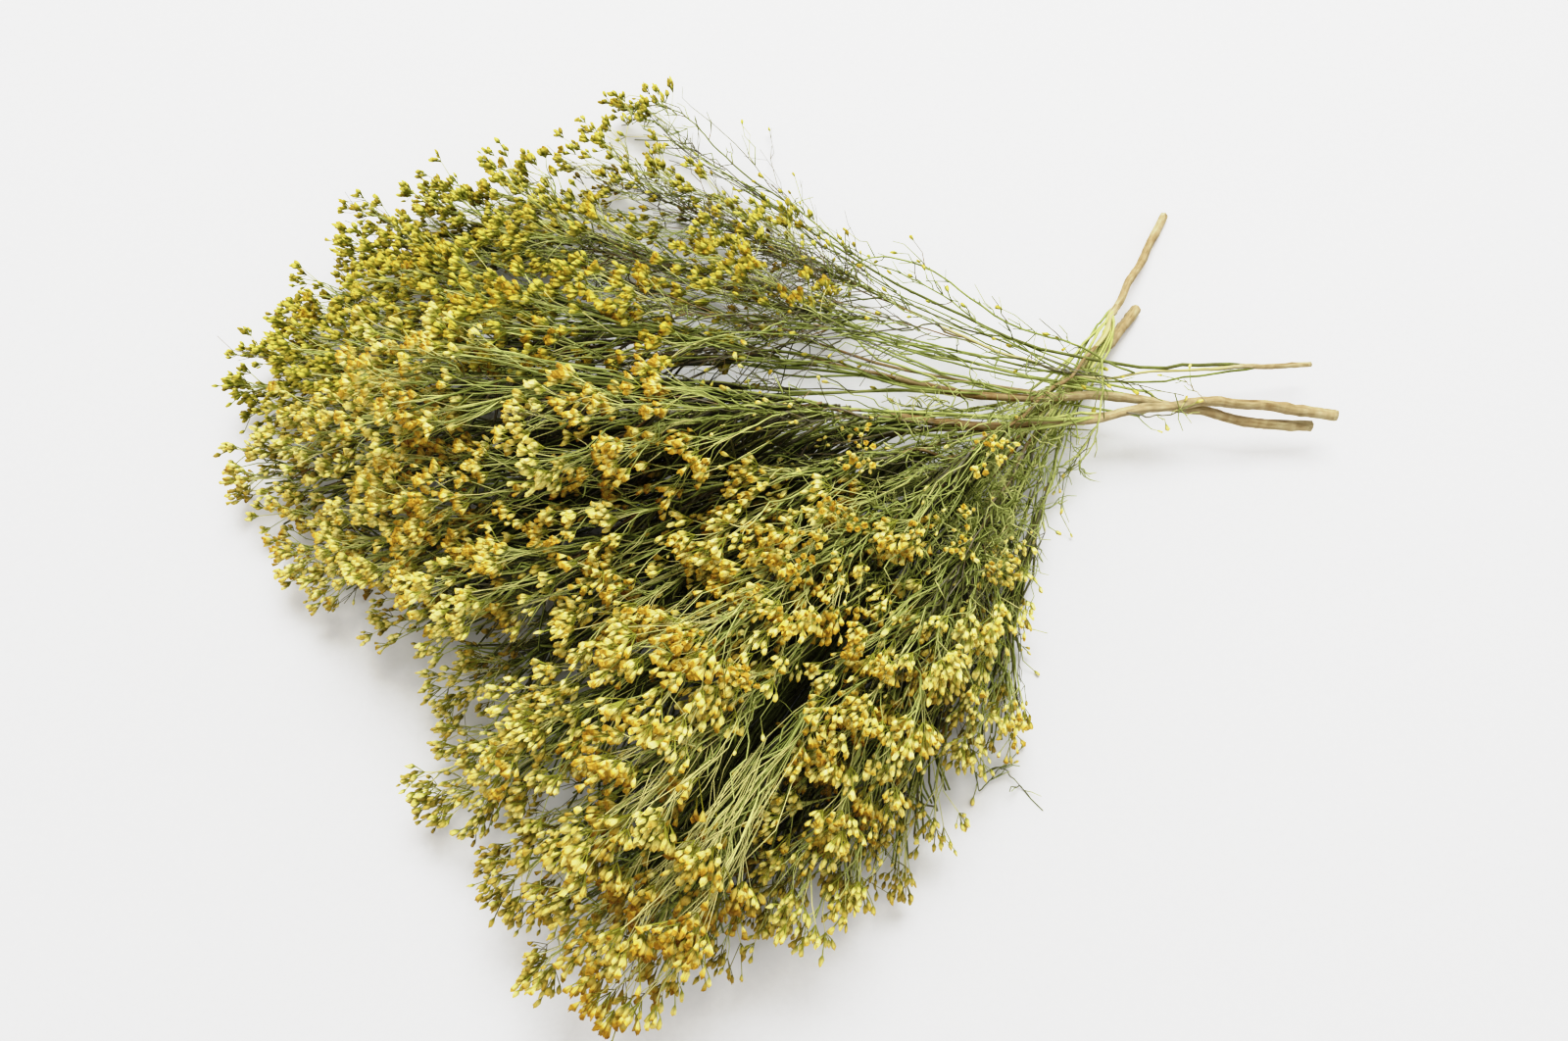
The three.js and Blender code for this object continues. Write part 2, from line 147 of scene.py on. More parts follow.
# How each stem's bloom grows, in the order of STEMS
HABITS = {
    # The slots of the woody stem and of the heads
    "bark_slot": ("woody_stems", "woody_stems", "green_stems", "woody_stems", "woody_stems"),
    "bloom_slot": ("blooms_golden", "blooms_olive", "blooms_olive", "blooms_golden", "blooms_golden"),
    # Heads: how golden, how big, how long their pedicels, how far they point one way
    "ripe": (0.50, 0.30, 0.34, 0.42, 0.44),
    "bud": (0.88, 0.88, 0.9, 0.97, 0.97),
    "stalk": (1.0, 1.0, 0.9, 1.6, 1.8),
    "aligned": (1.1, 1.1, 0.9, 0.95, 1.0),
    # Clumps: how sparse, how wide, how many between the clusters and behind the head, and
    # the share of branches that leave the limb early
    "airy": (0.0, 0.0, 0.55, 0.15, 0.0),
    "spread": (0.95, 0.95, 1.1, 0.98, 0.98),
    "fill": (2.0, 2.4, 1.0, 1.3, 1.15),
    "back": (0, 0, 1, 1, 1),
    "early": (0.28, 0.14, 0.12, 0.28, 0.28),
    # Limbs: the share of brown ones, the tone at a green one's root, the least radius, and
    # how far from the pivot they stay bare, least and most
    "woody": (0.38, 0.38, 0.2, 0.1, 0.1),
    "limb": (0.76, 0.70, 0.52, 0.80, 0.84),
    "stout": (0.6, 0.6, 0.32, 0.7, 0.75),
    "clear": ((140, 215), (140, 215), (120, 190), (75, 125), (85, 135)),
    # How far the bark reaches, and how yellow the fine stems are
    "bark_end": (0.97, 0.9, 0.12, 0.36, 0.3),
    "pale": (0.02, -0.03, -0.05, 0.12, 0.35),
    # To each spray: leaves and the stretch that they grow on, curly twigs, twigs on the
    # limb, stems beside it, shaded stems under the head, and thin forked stems, twice
    "leafy": (8, 8, 5, 20, 12),
    "leaf_run": ((2.5, 6.0), (2.5, 6.0), (2.5, 6.0), (1.6, 5.5), (1.6, 6.5)),
    "tangle": (0, 0, 0, 22, 12),
    "twigs": (7, 7, 8, 4, 3),
    "runners": (5, 4, 4, 8, 8),
    "under": (60, 25, 10, 60, 60),
    "net": (2, 3, 6, 3, 1),
    "lace": (0, 0, 3, 0, 0),
    # To the stem: thin stems that run free of the limbs, and that part from it early
    "cross": (6, 5, 4, 2, 2),
    "bundle": (3, 3, 2, 9, 9),
}

# Sprays that are more or less crowded than their stem's others, and more or less golden
TOUCHES = {
    "spray_1_1": (1.4, 0.2), "spray_1_2": (1.2, 0.05), "spray_1_4": (0.5, 0.0),
    "spray_1_5": (0.45, 0.0), "spray_1_6": (1.3, 0.2), "spray_1_7": (1.2, 0.1),
    "spray_1_8": (1.05, 0.1), "spray_1_9": (1.25, 0.12), "spray_1_10": (0.9, 0.1),
    "spray_1_11": (0.5, 0.0), "spray_2_1": (1.15, 0.0), "spray_2_2": (1.2, -0.05),
    "spray_2_3": (1.2, 0.0), "spray_2_4": (1.25, 0.15), "spray_2_5": (1.15, -0.05),
    "spray_3_6": (1.2, 0.12), "spray_5_1": (1.0, 0.12), "spray_5_3": (1.0, 0.12),
    "spray_5_13": (0.6, 0.0),
}

# The sprays whose branches show as one pale sheaf, with how pale and how sparse they are
SHEAF = ("spray_5_1", "spray_5_2", "spray_5_4")
SHEAF_PALE = 0.85
SHEAF_AIRY = 0.3

FILL_PER_HEAD = 7.5
TWIGS_PER_RUNNER = 1.4
CURVE_PULL = 0.38
LEAFY_Y = 66.0

# The bloom's highest hub, the room that hubs and nets keep at the sides of the frame's
# box, and how far heads and twigs may stand out of it
CEILING = 163.0
HUB_MARGIN = 5.0
NET_MARGIN = 3.0
HEAD_OVERHANG = 8.0

# Painted shade under the bloom, put into the heads' colour: how near it is beside a place,
# how far above the place it starts to count, and over how much more it grows deep
CANOPY_REACH = 17.0
SHADE_START = 5.0
SHADE_DEPTH = 30.0

# Heads in front of this y are darker, and fully so this far on
DIM_Y = -120
DIM_RUN = 70

# A flower head's length, and its width as a share of that. How wide the heads fan out
# round a hub and the side stems round a clump, in degrees. The share of long pedicels.
HEAD_LENGTH = 4.9
HEAD_WIDTH = 0.58
HEAD_FAN = 58
CLUMP_FAN = 108
LONG_STALKS = 0.08

# Kinds of fine stem: radii from root to end, tones at root and end, the chance in a
# tone, how much darker the root is where the bloom is airy, and how flat the stem is
KINDS = {
    "branch": ((0.62, 0.34), (0.56, 0.80), 0.09, 0.2, 1.0),
    # The next kind: branches of the clumps behind the crown, in darker tones that paint their shade
    "low_branch": ((0.62, 0.34), (0.48, 0.66), 0.09, 0.2, 1.0),
    "stalk": ((0.34, 0.25), (0.74, 0.88), 0.08, 0.0, 1.0),
    # The next kind: stems under the heads, in dark tones that paint the shade there
    "under": ((0.85, 0.6), (0.40, 0.47), 0.07, 0.0, 1.0),
    "runner": ((0.52, 0.24), (0.54, 0.66), 0.12, 0.1, 1.0),
    "twig": ((0.34, 0.25), (0.56, 0.68), 0.11, 0.1, 1.0),
    "fork": ((0.27, 0.22), (0.58, 0.72), 0.09, 0.0, 1.0),
    "leaf": ((0.28, 0.62, 0.55, 0.12), (0.64, 0.76), 0.08, 0.0, 0.45),
    "curl": ((0.42, 0.2), (0.60, 0.72), 0.09, 0.0, 1.0),
    "curl_leaf": ((0.24, 0.48, 0.42, 0.12), (0.62, 0.78), 0.08, 0.0, 0.5),
    "net": ((0.30, 0.20), (0.34, 0.37), 0.03, 0.0, 1.0),
    "net_fork": ((0.21, 0.168), (0.35, 0.42), 0.04, 0.0, 1.0),
    "net_tip": ((0.17, 0.136), (0.35, 0.42), 0.04, 0.0, 1.0),
}

# Stray stems at the bunch's edges: the place in STEMS of the stem they belong to, their
# girth and tone, the number of loose heads at their ends, and their route
STRAYS = [
    (2, 0.55, 0.46, 0, [(45, 146, 34), (28, 163, 30), (0, 191, 26), (-23, 211, 22),
                        (-42, 231, 20), (-53, 248, 18), (-64, 259, 16), (-77, 265, 14)]),
    (2, 0.35, 0.50, 3, [(-72, 265, 14), (-84, 270, 13), (-97, 268, 12)]),
    (2, 0.35, 0.50, 3, [(-78, 266, 14), (-86, 266, 13), (-94, 264, 12)]),
    (2, 0.35, 0.50, 2, [(-72, 264, 14), (-82, 260, 13), (-92, 257, 12)]),
    (2, 0.70, 0.62, 1, [(196, 77, 30), (178, 79, 40), (160, 85, 50), (129, 93, 52),
                        (100, 116, 50), (80, 133, 48), (58, 141, 46), (44, 140, 44),
                        (38, 135, 42)]),
    (2, 0.60, 0.50, 1, [(150, 77, 37), (130, 86, 44), (108, 97, 50), (87, 117, 48),
                        (66, 130, 46), (44, 142, 44), (22, 162, 40), (0, 187, 36)]),
    (2, 0.40, 0.40, 0, [(130, 73, 50), (154, 70, 50), (175, 66, 48), (194, 62, 46),
                        (218, 58, 42)]),
    (0, 0.30, 0.10, 0, [(230, 54, 42), (225, 57, 46), (220, 60, 49), (216, 64, 50)]),
    (3, 0.80, 0.78, 0, [(173, 76, 50), (173, 67, 47), (173, 56, 44), (171, 45, 40),
                        (167, 36, 34), (160, 28, 28), (153, 24, 22)]),
    (3, 0.50, 0.74, 1, [(171, 45, 40), (169, 33, 30), (158, 22, 22), (144, 8, 16),
                        (133, -7, 12)]),
    (4, 0.55, 0.30, 0, [(186, 48, 42), (195, 47, 40), (206, 48, 38), (220, 51, 38)]),
    (3, 0.55, 0.48, 0, [(134, 8, 30), (127, -13, 26), (120, -32, 22), (118, -55, 18),
                        (115, -76, 15), (114, -96, 12), (112, -116, 9), (109, -131, 7)]),
    (3, 0.45, 0.42, 0, [(130, -8, 26), (121, -36, 20), (118, -57, 16), (122, -75, 12),
                        (122, -96, 9), (122, -106, 8), (117, -122, 6)]),
    (3, 0.45, 0.44, 1, [(138, 13, 30), (125, -23, 20), (118, -49, 14), (118, -56, 12),
                        (126, -70, 9)]),
    (3, 0.40, 0.42, 0, [(102, -142, 8), (113, -138, 6), (118, -141, 4), (125, -148, 2)]),
    (3, 0.40, 0.40, 0, [(94, -121, 20), (98, -135, 12), (102, -149, 4), (108, -144, 3),
                        (114, -141, 5)]),
    (4, 0.40, 0.36, 4, [(-131, -71, 40), (-142, -80, 34), (-150, -88, 28), (-158, -95, 24),
                        (-165, -101, 20), (-170, -103, 18)]),
]


def unit(vectors):
    return vectors / np.linalg.norm(vectors, axis=-1, keepdims=True)


def mix(a, b, k):
    return a * (1 - k) + b * k


def ease(k):
    """0 to 1 with a soft start and a soft end."""
    k = np.clip(k, 0, 1)
    return k * k * (3 - 2 * k)


def dots(a, b):
    return np.sum(a * b, axis=-1)


def frame_of(directions):
    """Two directions square to each given one, the first as near upright as can be."""
    steep = np.abs(directions[..., 2:3]) >= 0.9
    guide = np.where(steep, [1.0, 0.0, 0.0], [0.0, 0.0, 1.0])
    side = unit(np.cross(directions, guide))
    return np.cross(side, directions), side


def on_route(points, t):
    """Smooth route through the points, at t from 0 to 1."""
    points = np.asarray(points, float)
    last = len(points) - 1
    t = np.atleast_1d(t)
    at = np.clip(np.floor(t * last).astype(int), 0, last - 1)
    k = (t * last - at)[:, None]
    padded = np.vstack([2 * points[0] - points[1], points, 2 * points[last] - points[last - 1]])
    a, b, c, d = (padded[at + shift] for shift in range(4))
    return 0.5 * (2 * b + (c - a) * k + (2 * a - 5 * b + 4 * c - d) * k * k
                  + (3 * b - a - 3 * c + d) * k * k * k)


def bezier(a, b, c, d, t):
    s = 1 - t
    return a * s ** 3 + b * (3 * s * s * t) + c * (3 * s * t * t) + d * t ** 3


def leaving(stem, order):
    """How far along its stem the limb of that order leaves: the middle ones first."""
    middle = (len(stem["heads"]) - 1) / 2
    return 1 - (1 - stem["fork"]) * abs(order - middle) / middle


class Layout:
    """Particles joined by rods, which push each other apart until they are clear."""

    def __init__(self):
        self.places, self.fixed, self.floors = [], [], []
        self.chains, self.rods, self.state = {}, [], SEED

    def draw(self):
        """A repeatable draw between 0 and 1, the same as in the frame's source."""
        self.state = self.state * 16807 % 2147483647
        return self.state / 2147483647

    def particle(self, place, fixed, floor):
        self.places.append(np.array(place, float))
        self.fixed.append(fixed)
        self.floors.append(floor)
        return len(self.places) - 1

    def rod(self, start, end, radius, node, joint="", bloom=-1):
        """An end is a particle, or (a, b, k): the place at k of the way from a to b."""
        ends = [place if isinstance(place, tuple) else (place, place, 0) for place in (start, end)]
        self.rods.append((*ends, radius, node, joint, bloom))

    def trunk(self, stem):
        for step in range(STEM_STEPS):
            share = np.array([step, step + 1]) / STEM_STEPS
            low, high = (self.particle(place, True, 0) for place in on_route(stem["route"], share))
            radius = stem["cut"] + (stem["end"] - stem["cut"]) * step / STEM_STEPS
            self.rod(low, high, radius, stem["name"])

    def limb(self, stem, order, base, growth, name):
        leave = leaving(stem, order)
        root, earlier = on_route(stem["route"], np.array([leave, leave - 0.02]))
        straight = base - root
        pull = LIMB_PULL * np.linalg.norm(straight)
        near = root + unit(mix(unit(root - earlier), unit(straight), LIMB_SPLAY)) * pull
        far = base - growth * pull
        line = [self.particle(root, True, 0)]
        for step in range(LIMB_STEPS):
            place = bezier(root, near, far, base, (step + 1) / LIMB_STEPS)
            line.append(self.particle(place, False, LIMB_FLOOR))
            radius = mix(LIMB_BASE_RADIUS, LIMB_END_RADIUS, step / LIMB_STEPS)
            joint = name if step == LIMB_STEPS - 1 else ""
            self.rod(line[step], line[step + 1], radius, stem["name"], joint)
        return line

    def spray(self, stem, head, order):
        """A limb with its twig, and the stalked clusters that fill the head."""
        centre, radius = np.array(head[:3], float), head[3]
        away = centre[:2] - stem["pivot"]
        growth = unit(np.array([*away, HEAD_RISE * math.hypot(*away)]))
        up, side = frame_of(growth)
        name = f"spray_{stem['name'][-1]}_{order + 1}"

        def place_at(forward):
            return centre + growth * (forward * radius)

        limb = self.limb(stem, order, place_at(TWIG_START), growth, name)
        twig = [limb[-1]]
        for step in range(1, TWIG_STEPS + 1):
            reach = TWIG_START + (TWIG_END - TWIG_START) * step / TWIG_STEPS
            twig.append(self.particle(place_at(reach), False, LIMB_FLOOR))
            joint = name if step == 1 else ""
            self.rod(twig[step - 1], twig[step], LIMB_END_RADIUS, name, joint)
        chain = limb + twig[1:]
        for before, here, after in zip(chain, chain[1:], chain[2:]):
            self.chains[here] = (before, after)

        count = max(2, math.floor(radius / HEAD_RADIUS_PER_CLUSTER + 0.5))
        size = min(CLUSTER_RADIUS, radius * SIZE_SHARE)
        first_turn = self.draw() * 2 * math.pi
        clusters = []
        for index in range(count):
            tip = index == 0
            forward = TIP_FORWARD if tip else RING_FORWARD - RING_DEPTH * index / (count - 1)
            spread = TIP_SPREAD if tip else RING_SPREAD
            turn = first_turn + index * GOLDEN_ANGLE
            radial = up * (math.cos(turn) * HEAD_FLATNESS) + side * math.sin(turn)
            at = self.particle(place_at(forward) + radial * (spread * radius), False, FLOOR_SINK * size)
            steps = TWIG_STEPS * (forward - STALK_LAG - TWIG_START) / (TWIG_END - TWIG_START)
            reach = min(max(math.inf if tip else steps, FIRST_STALK), TWIG_STEPS - LAST_STALK)
            rung = math.floor(reach)
            root = (twig[rung], twig[rung + 1], reach - rung)
            self.rod(root, at, STALK_ROOM, name, bloom=index)
            self.rod(at, at, size, name, bloom=index)
            clusters.append(SimpleNamespace(at=at, root=root, size=size, reach=LIMB_STEPS + reach))
            self.draw()
        return SimpleNamespace(name=name, chain=chain, growth=growth, clusters=clusters,
                               radius=radius, pivot=stem["pivot"])

    def ready(self):
        self.places = np.array(self.places)
        self.start = self.places.copy()
        self.free = ~np.array(self.fixed)
        self.floors = np.array(self.floors, float)
        self.ends = [
            [np.array([rod[end][part] for rod in self.rods]) for part in range(3)]
            for end in range(2)
        ]
        self.radii = np.array([rod[2] for rod in self.rods], float)

    def locate(self, end, chosen):
        a, b, k = (part[chosen] for part in self.ends[end])
        return mix(self.places[a], self.places[b], k[:, None])

    def shortfall(self, one, two):
        """Where two rods are nearest, and how far they are short of being clear."""
        p, q = self.locate(0, one), self.locate(1, one)
        r, s = self.locate(0, two), self.locate(1, two)
        d, e, w = q - p, s - r, p - r
        a, b, c, f, g = dots(d, d), dots(d, e), dots(e, e), dots(d, w), dots(e, w)
        spread = a * c - b * b
        with np.errstate(divide="ignore", invalid="ignore"):
            k = np.where(spread > 1e-9, np.clip((b * g - c * f) / spread, 0, 1), 0)
            m = np.where(c > 1e-9, np.clip((b * k + g) / c, 0, 1), 0)
            k = np.where(a > 1e-9, np.clip((b * m - f) / a, 0, 1), 0)
        away = p + d * k[:, None] - (r + e * m[:, None])
        distance = np.linalg.norm(away, axis=1)
        short = self.radii[one] + self.radii[two] + NODE_CLEARANCE - distance
        return k, m, away, distance, short

    def close_pairs(self):
        """The pairs of rods that may meet, without those that are joined."""
        nodes = np.unique([rod[3] for rod in self.rods], return_inverse=True)[1]
        joints = np.unique([rod[4] for rod in self.rods], return_inverse=True)[1]
        jointed = np.array([rod[4] != "" for rod in self.rods])
        blooms = np.array([rod[5] for rod in self.rods])
        balls = np.array([rod[0] == rod[1] for rod in self.rods])
        one, two = np.triu_indices(len(self.rods), 1)
        same = nodes[one] == nodes[two]
        joined = jointed[one] & (joints[one] == joints[two])
        sisters = (same & (blooms[one] >= 0) & (blooms[two] >= 0)
                   & (blooms[one] != blooms[two]) & (balls[one] | balls[two]))
        keep = sisters | (~same & ~joined)
        one, two = one[keep], two[keep]
        near = self.shortfall(one, two)[4] > -WATCH_RANGE
        return one[near], two[near]

    def push_apart(self, one, two):
        k, m, away, distance, short = self.shortfall(one, two)
        hit = short > 0
        one, two, k, m = one[hit], two[hit], k[hit], m[hit]
        amount = PUSH_SHARE * short[hit] / np.maximum(distance[hit], 1e-6)
        push = away[hit] * amount[:, None]
        moves = np.zeros_like(self.places)
        for end, rods, weight in ((0, one, 1 - k), (1, one, k), (0, two, m - 1), (1, two, -m)):
            a, b, part = (values[rods] for values in self.ends[end])
            np.add.at(moves, a, push * (weight * (1 - part))[:, None])
            np.add.at(moves, b, push * (weight * part)[:, None])
        self.places[self.free] += moves[self.free]
        low = self.free & (self.places[:, 2] < self.floors)
        self.places[low, 2] = self.floors[low]

    def smooth(self):
        shifts = self.places - self.start
        here = np.array(list(self.chains))
        before, after = np.array(list(self.chains.values())).T
        even = (shifts[before] + shifts[after]) * 0.5
        self.places[here] = self.start[here] + mix(shifts[here], even, SMOOTH_SHARE)

    def settle(self):
        self.ready()
        one, two = self.close_pairs()
        for turn in range(SETTLE_ROUNDS):
            self.push_apart(one, two)
            if turn < SMOOTH_ROUNDS:
                self.smooth()


# A spray is shaded when another head stands this near it and this much higher
SHADING_REACH = 34
SHADING_RISE = 25


def lay_out():
    """Every stem's sprays, settled, with their places in millimetres."""
    layout = Layout()
    for stem in STEMS:
        layout.trunk(stem)
    sprays = [
        [layout.spray(stem, head, order) for order, head in enumerate(stem["heads"])]
        for stem in STEMS
    ]
    layout.settle()
    heads = np.array([head for stem in STEMS for head in stem["heads"]], float)
    for spray, head in zip((spray for row in sprays for spray in row), heads):
        near = np.hypot(heads[:, 0] - head[0], heads[:, 1] - head[1]) < SHADING_REACH
        spray.open = not np.any(near & (heads[:, 2] > head[2] + SHADING_RISE))
        spray.line = layout.places[spray.chain]
        for cluster in spray.clusters:
            a, b, k = cluster.root
            cluster.centre = layout.places[cluster.at]
            cluster.origin = mix(layout.places[a], layout.places[b], k)
    return sprays


def show(name, data):
    """Puts a mesh, lamp or camera in the scene."""
    thing = bpy.data.objects.new(name, data)
    bpy.context.scene.collection.objects.link(thing)
    return thing


def above_floor(paths, room):
    paths[..., 2] = np.maximum(paths[..., 2], room)
    return paths


SKIN_ROOM = 0.05


class Skin:
    """The faces of one piece, gathered part by part before its mesh is made."""

    def __init__(self):
        self.places, self.faces, self.maps, self.marks = [], [], [], {}
        self.count = 0

    def add(self, places, faces, maps, **marks):
        """faces and maps are lists of arrays: corner numbers, and their map places."""
        self.places.append(above_floor(places.reshape(-1, 3), SKIN_ROOM))
        self.faces += [part + self.count for part in faces]
        self.maps += maps
        for name, values in marks.items():
            self.marks.setdefault(name, []).append(np.ravel(values))
        self.count += len(self.places[-1])

    def piece(self, name, material, smooth):
        places = (np.vstack(self.places) - BUNCH_CENTRE) * 0.001
        corners = np.concatenate([part.ravel() for part in self.faces])
        totals = np.concatenate([np.full(len(part), part.shape[1]) for part in self.faces])
        starts = np.concatenate([[0], np.cumsum(totals)[:-1]])
        mesh = bpy.data.meshes.new(name)
        mesh.vertices.add(len(places))
        mesh.vertices.foreach_set("co", places.ravel().astype(np.float32))
        mesh.loops.add(len(corners))
        mesh.loops.foreach_set("vertex_index", corners.astype(np.int32))
        mesh.polygons.add(len(totals))
        mesh.polygons.foreach_set("loop_start", starts.astype(np.int32))
        mesh.polygons.foreach_set("use_smooth", np.full(len(totals), smooth))
        flat = np.concatenate([part.reshape(-1, 2) for part in self.maps])
        for label in ("Skin", "OFBake"):
            layer = mesh.uv_layers.new(name=label, do_init=False)
            layer.data.foreach_set("uv", flat.ravel().astype(np.float32))
        for label, parts in self.marks.items():
            mark = mesh.attributes.new(label, "FLOAT", "POINT")
            mark.data.foreach_set("value", np.concatenate(parts).astype(np.float32))
        mesh.update(calc_edges=True)
        mesh.validate()
        mesh.materials.append(material)
        return show(name, mesh)


# The map: columns by tone or ripeness, how many millimetres it is long, and the share of
# a column that is left free at each side
MAP_COLUMNS = 16
MAP_LENGTH = 420.0
MAP_INSET = 0.08
MAP_INNER = 1 - 2 * MAP_INSET


def column_of(values):
    return np.clip(np.floor(values * MAP_COLUMNS), 0, MAP_COLUMNS - 1)


def add_tubes(skin, paths, radii, tone, rng, sides=3, flat=1.0, shape=None):
    """Round rods along the paths: (tubes, points, 3), with their radii and tones."""
    tubes, points, _ = paths.shape
    directions = np.empty_like(paths)
    directions[:, 1:-1] = paths[:, 2:] - paths[:, :-2]
    directions[:, 0] = paths[:, 1] - paths[:, 0]
    directions[:, -1] = paths[:, -1] - paths[:, -2]
    directions = unit(directions)
    whole = unit(paths[:, -1] - paths[:, 0])[:, None]
    guide = np.where(np.abs(whole[..., 2:3]) >= 0.8, [1.0, 0.0, 0.0], [0.0, 0.0, 1.0])
    side = unit(np.cross(directions, guide))
    up = np.cross(side, directions)
    chance = rng.random((tubes, 1, 1))
    if flat != 1.0 or shape is not None:
        chance = np.zeros((tubes, 1, 1))
    turn = 2 * math.pi * np.arange(sides) / sides + chance * 2 * math.pi
    wide = radii[..., None] * (1.0 if shape is None else shape)
    places = (paths[:, :, None]
              + up[:, :, None] * (np.cos(turn) * wide * flat)[..., None]
              + side[:, :, None] * (np.sin(turn) * wide)[..., None])

    corner = np.arange(tubes * points * sides).reshape(tubes, points, sides)
    onward = np.roll(corner, -1, axis=2)
    quads = np.stack([corner[:, :-1], onward[:, :-1], onward[:, 1:], corner[:, 1:]], -1)
    run = np.linalg.norm(np.diff(paths, axis=1), axis=2)
    along = np.concatenate([np.zeros((tubes, 1)), np.cumsum(run, axis=1)], 1) / MAP_LENGTH
    along = along * np.minimum(1, 0.98 / np.maximum(along[:, -1:], 1e-9))
    along += rng.random((tubes, 1)) * (1 - along[:, -1:])
    tone = np.broadcast_to(tone, (tubes, points))
    column = column_of((tone[:, 1:] + tone[:, :-1]) / 2)[..., None]
    left = np.arange(sides) / sides
    u0 = (column + MAP_INSET + MAP_INNER * left) / MAP_COLUMNS
    u1 = (column + MAP_INSET + MAP_INNER * (left + 1 / sides)) / MAP_COLUMNS
    v0 = np.broadcast_to(along[:, :-1, None], u0.shape)
    v1 = np.broadcast_to(along[:, 1:, None], u0.shape)
    maps = np.stack([np.stack(pair, -1) for pair in ((u0, v0), (u1, v0), (u1, v1), (u0, v1))], -2)

    circle = np.stack([np.cos(2 * math.pi * left), np.sin(2 * math.pi * left)], -1)
    caps, cap_maps = [], []
    for end, order in ((0, -1), (points - 1, 1)):
        caps.append(corner[:, end, ::order])
        middle = np.stack([(column_of(tone[:, end]) + 0.5) / MAP_COLUMNS,
                           np.clip(along[:, end], 0.01, 0.99)], -1)
        cap_maps.append(middle[:, None] + circle[::order] * 0.3 / MAP_COLUMNS * np.array([1.0, 0.1]))
    skin.add(places, [quads.reshape(-1, 4), *caps], [maps.reshape(-1, 4, 2), *cap_maps],
             tone=np.repeat(tone.ravel(), sides))


# Flower heads, from the neck up: where each ring is along the head, how wide an open
# and a shut head is there, and how ruffled. The third ring is the crown's, left out of
# the heads that stand behind others.
HEAD_SIDES = 5
HEAD_ALONG = np.array([0.40, 0.80, 0.97])
HEAD_OPEN = np.array([0.35, 0.54, 0.34])
HEAD_SHUT = np.array([0.48, 0.36, 0.14])
HEAD_RUFFLE = np.array([0.12, 0.28, 0.60])
HEAD_TOP = (1.10, 0.88)
HEAD_LEAN = 0.07
NECK_SIDES = 3
NECK_WIDTH = 0.11
PEDICEL_RADIUS = 0.2
PEDICEL_MARK = -0.3
TOP_MARK = 1.05

# The neck's three corners sewn to the first ring's five: (ring, corner) three times
SEAM = [((0, 0), (1, 1), (1, 0)), ((0, 0), (0, 1), (1, 1)), ((0, 1), (1, 2), (1, 1)),
        ((0, 1), (1, 3), (1, 2)), ((0, 1), (0, 2), (1, 3)), ((0, 2), (1, 4), (1, 3)),
        ((0, 2), (0, 3), (1, 4)), ((0, 3), (1, 5), (1, 4))]


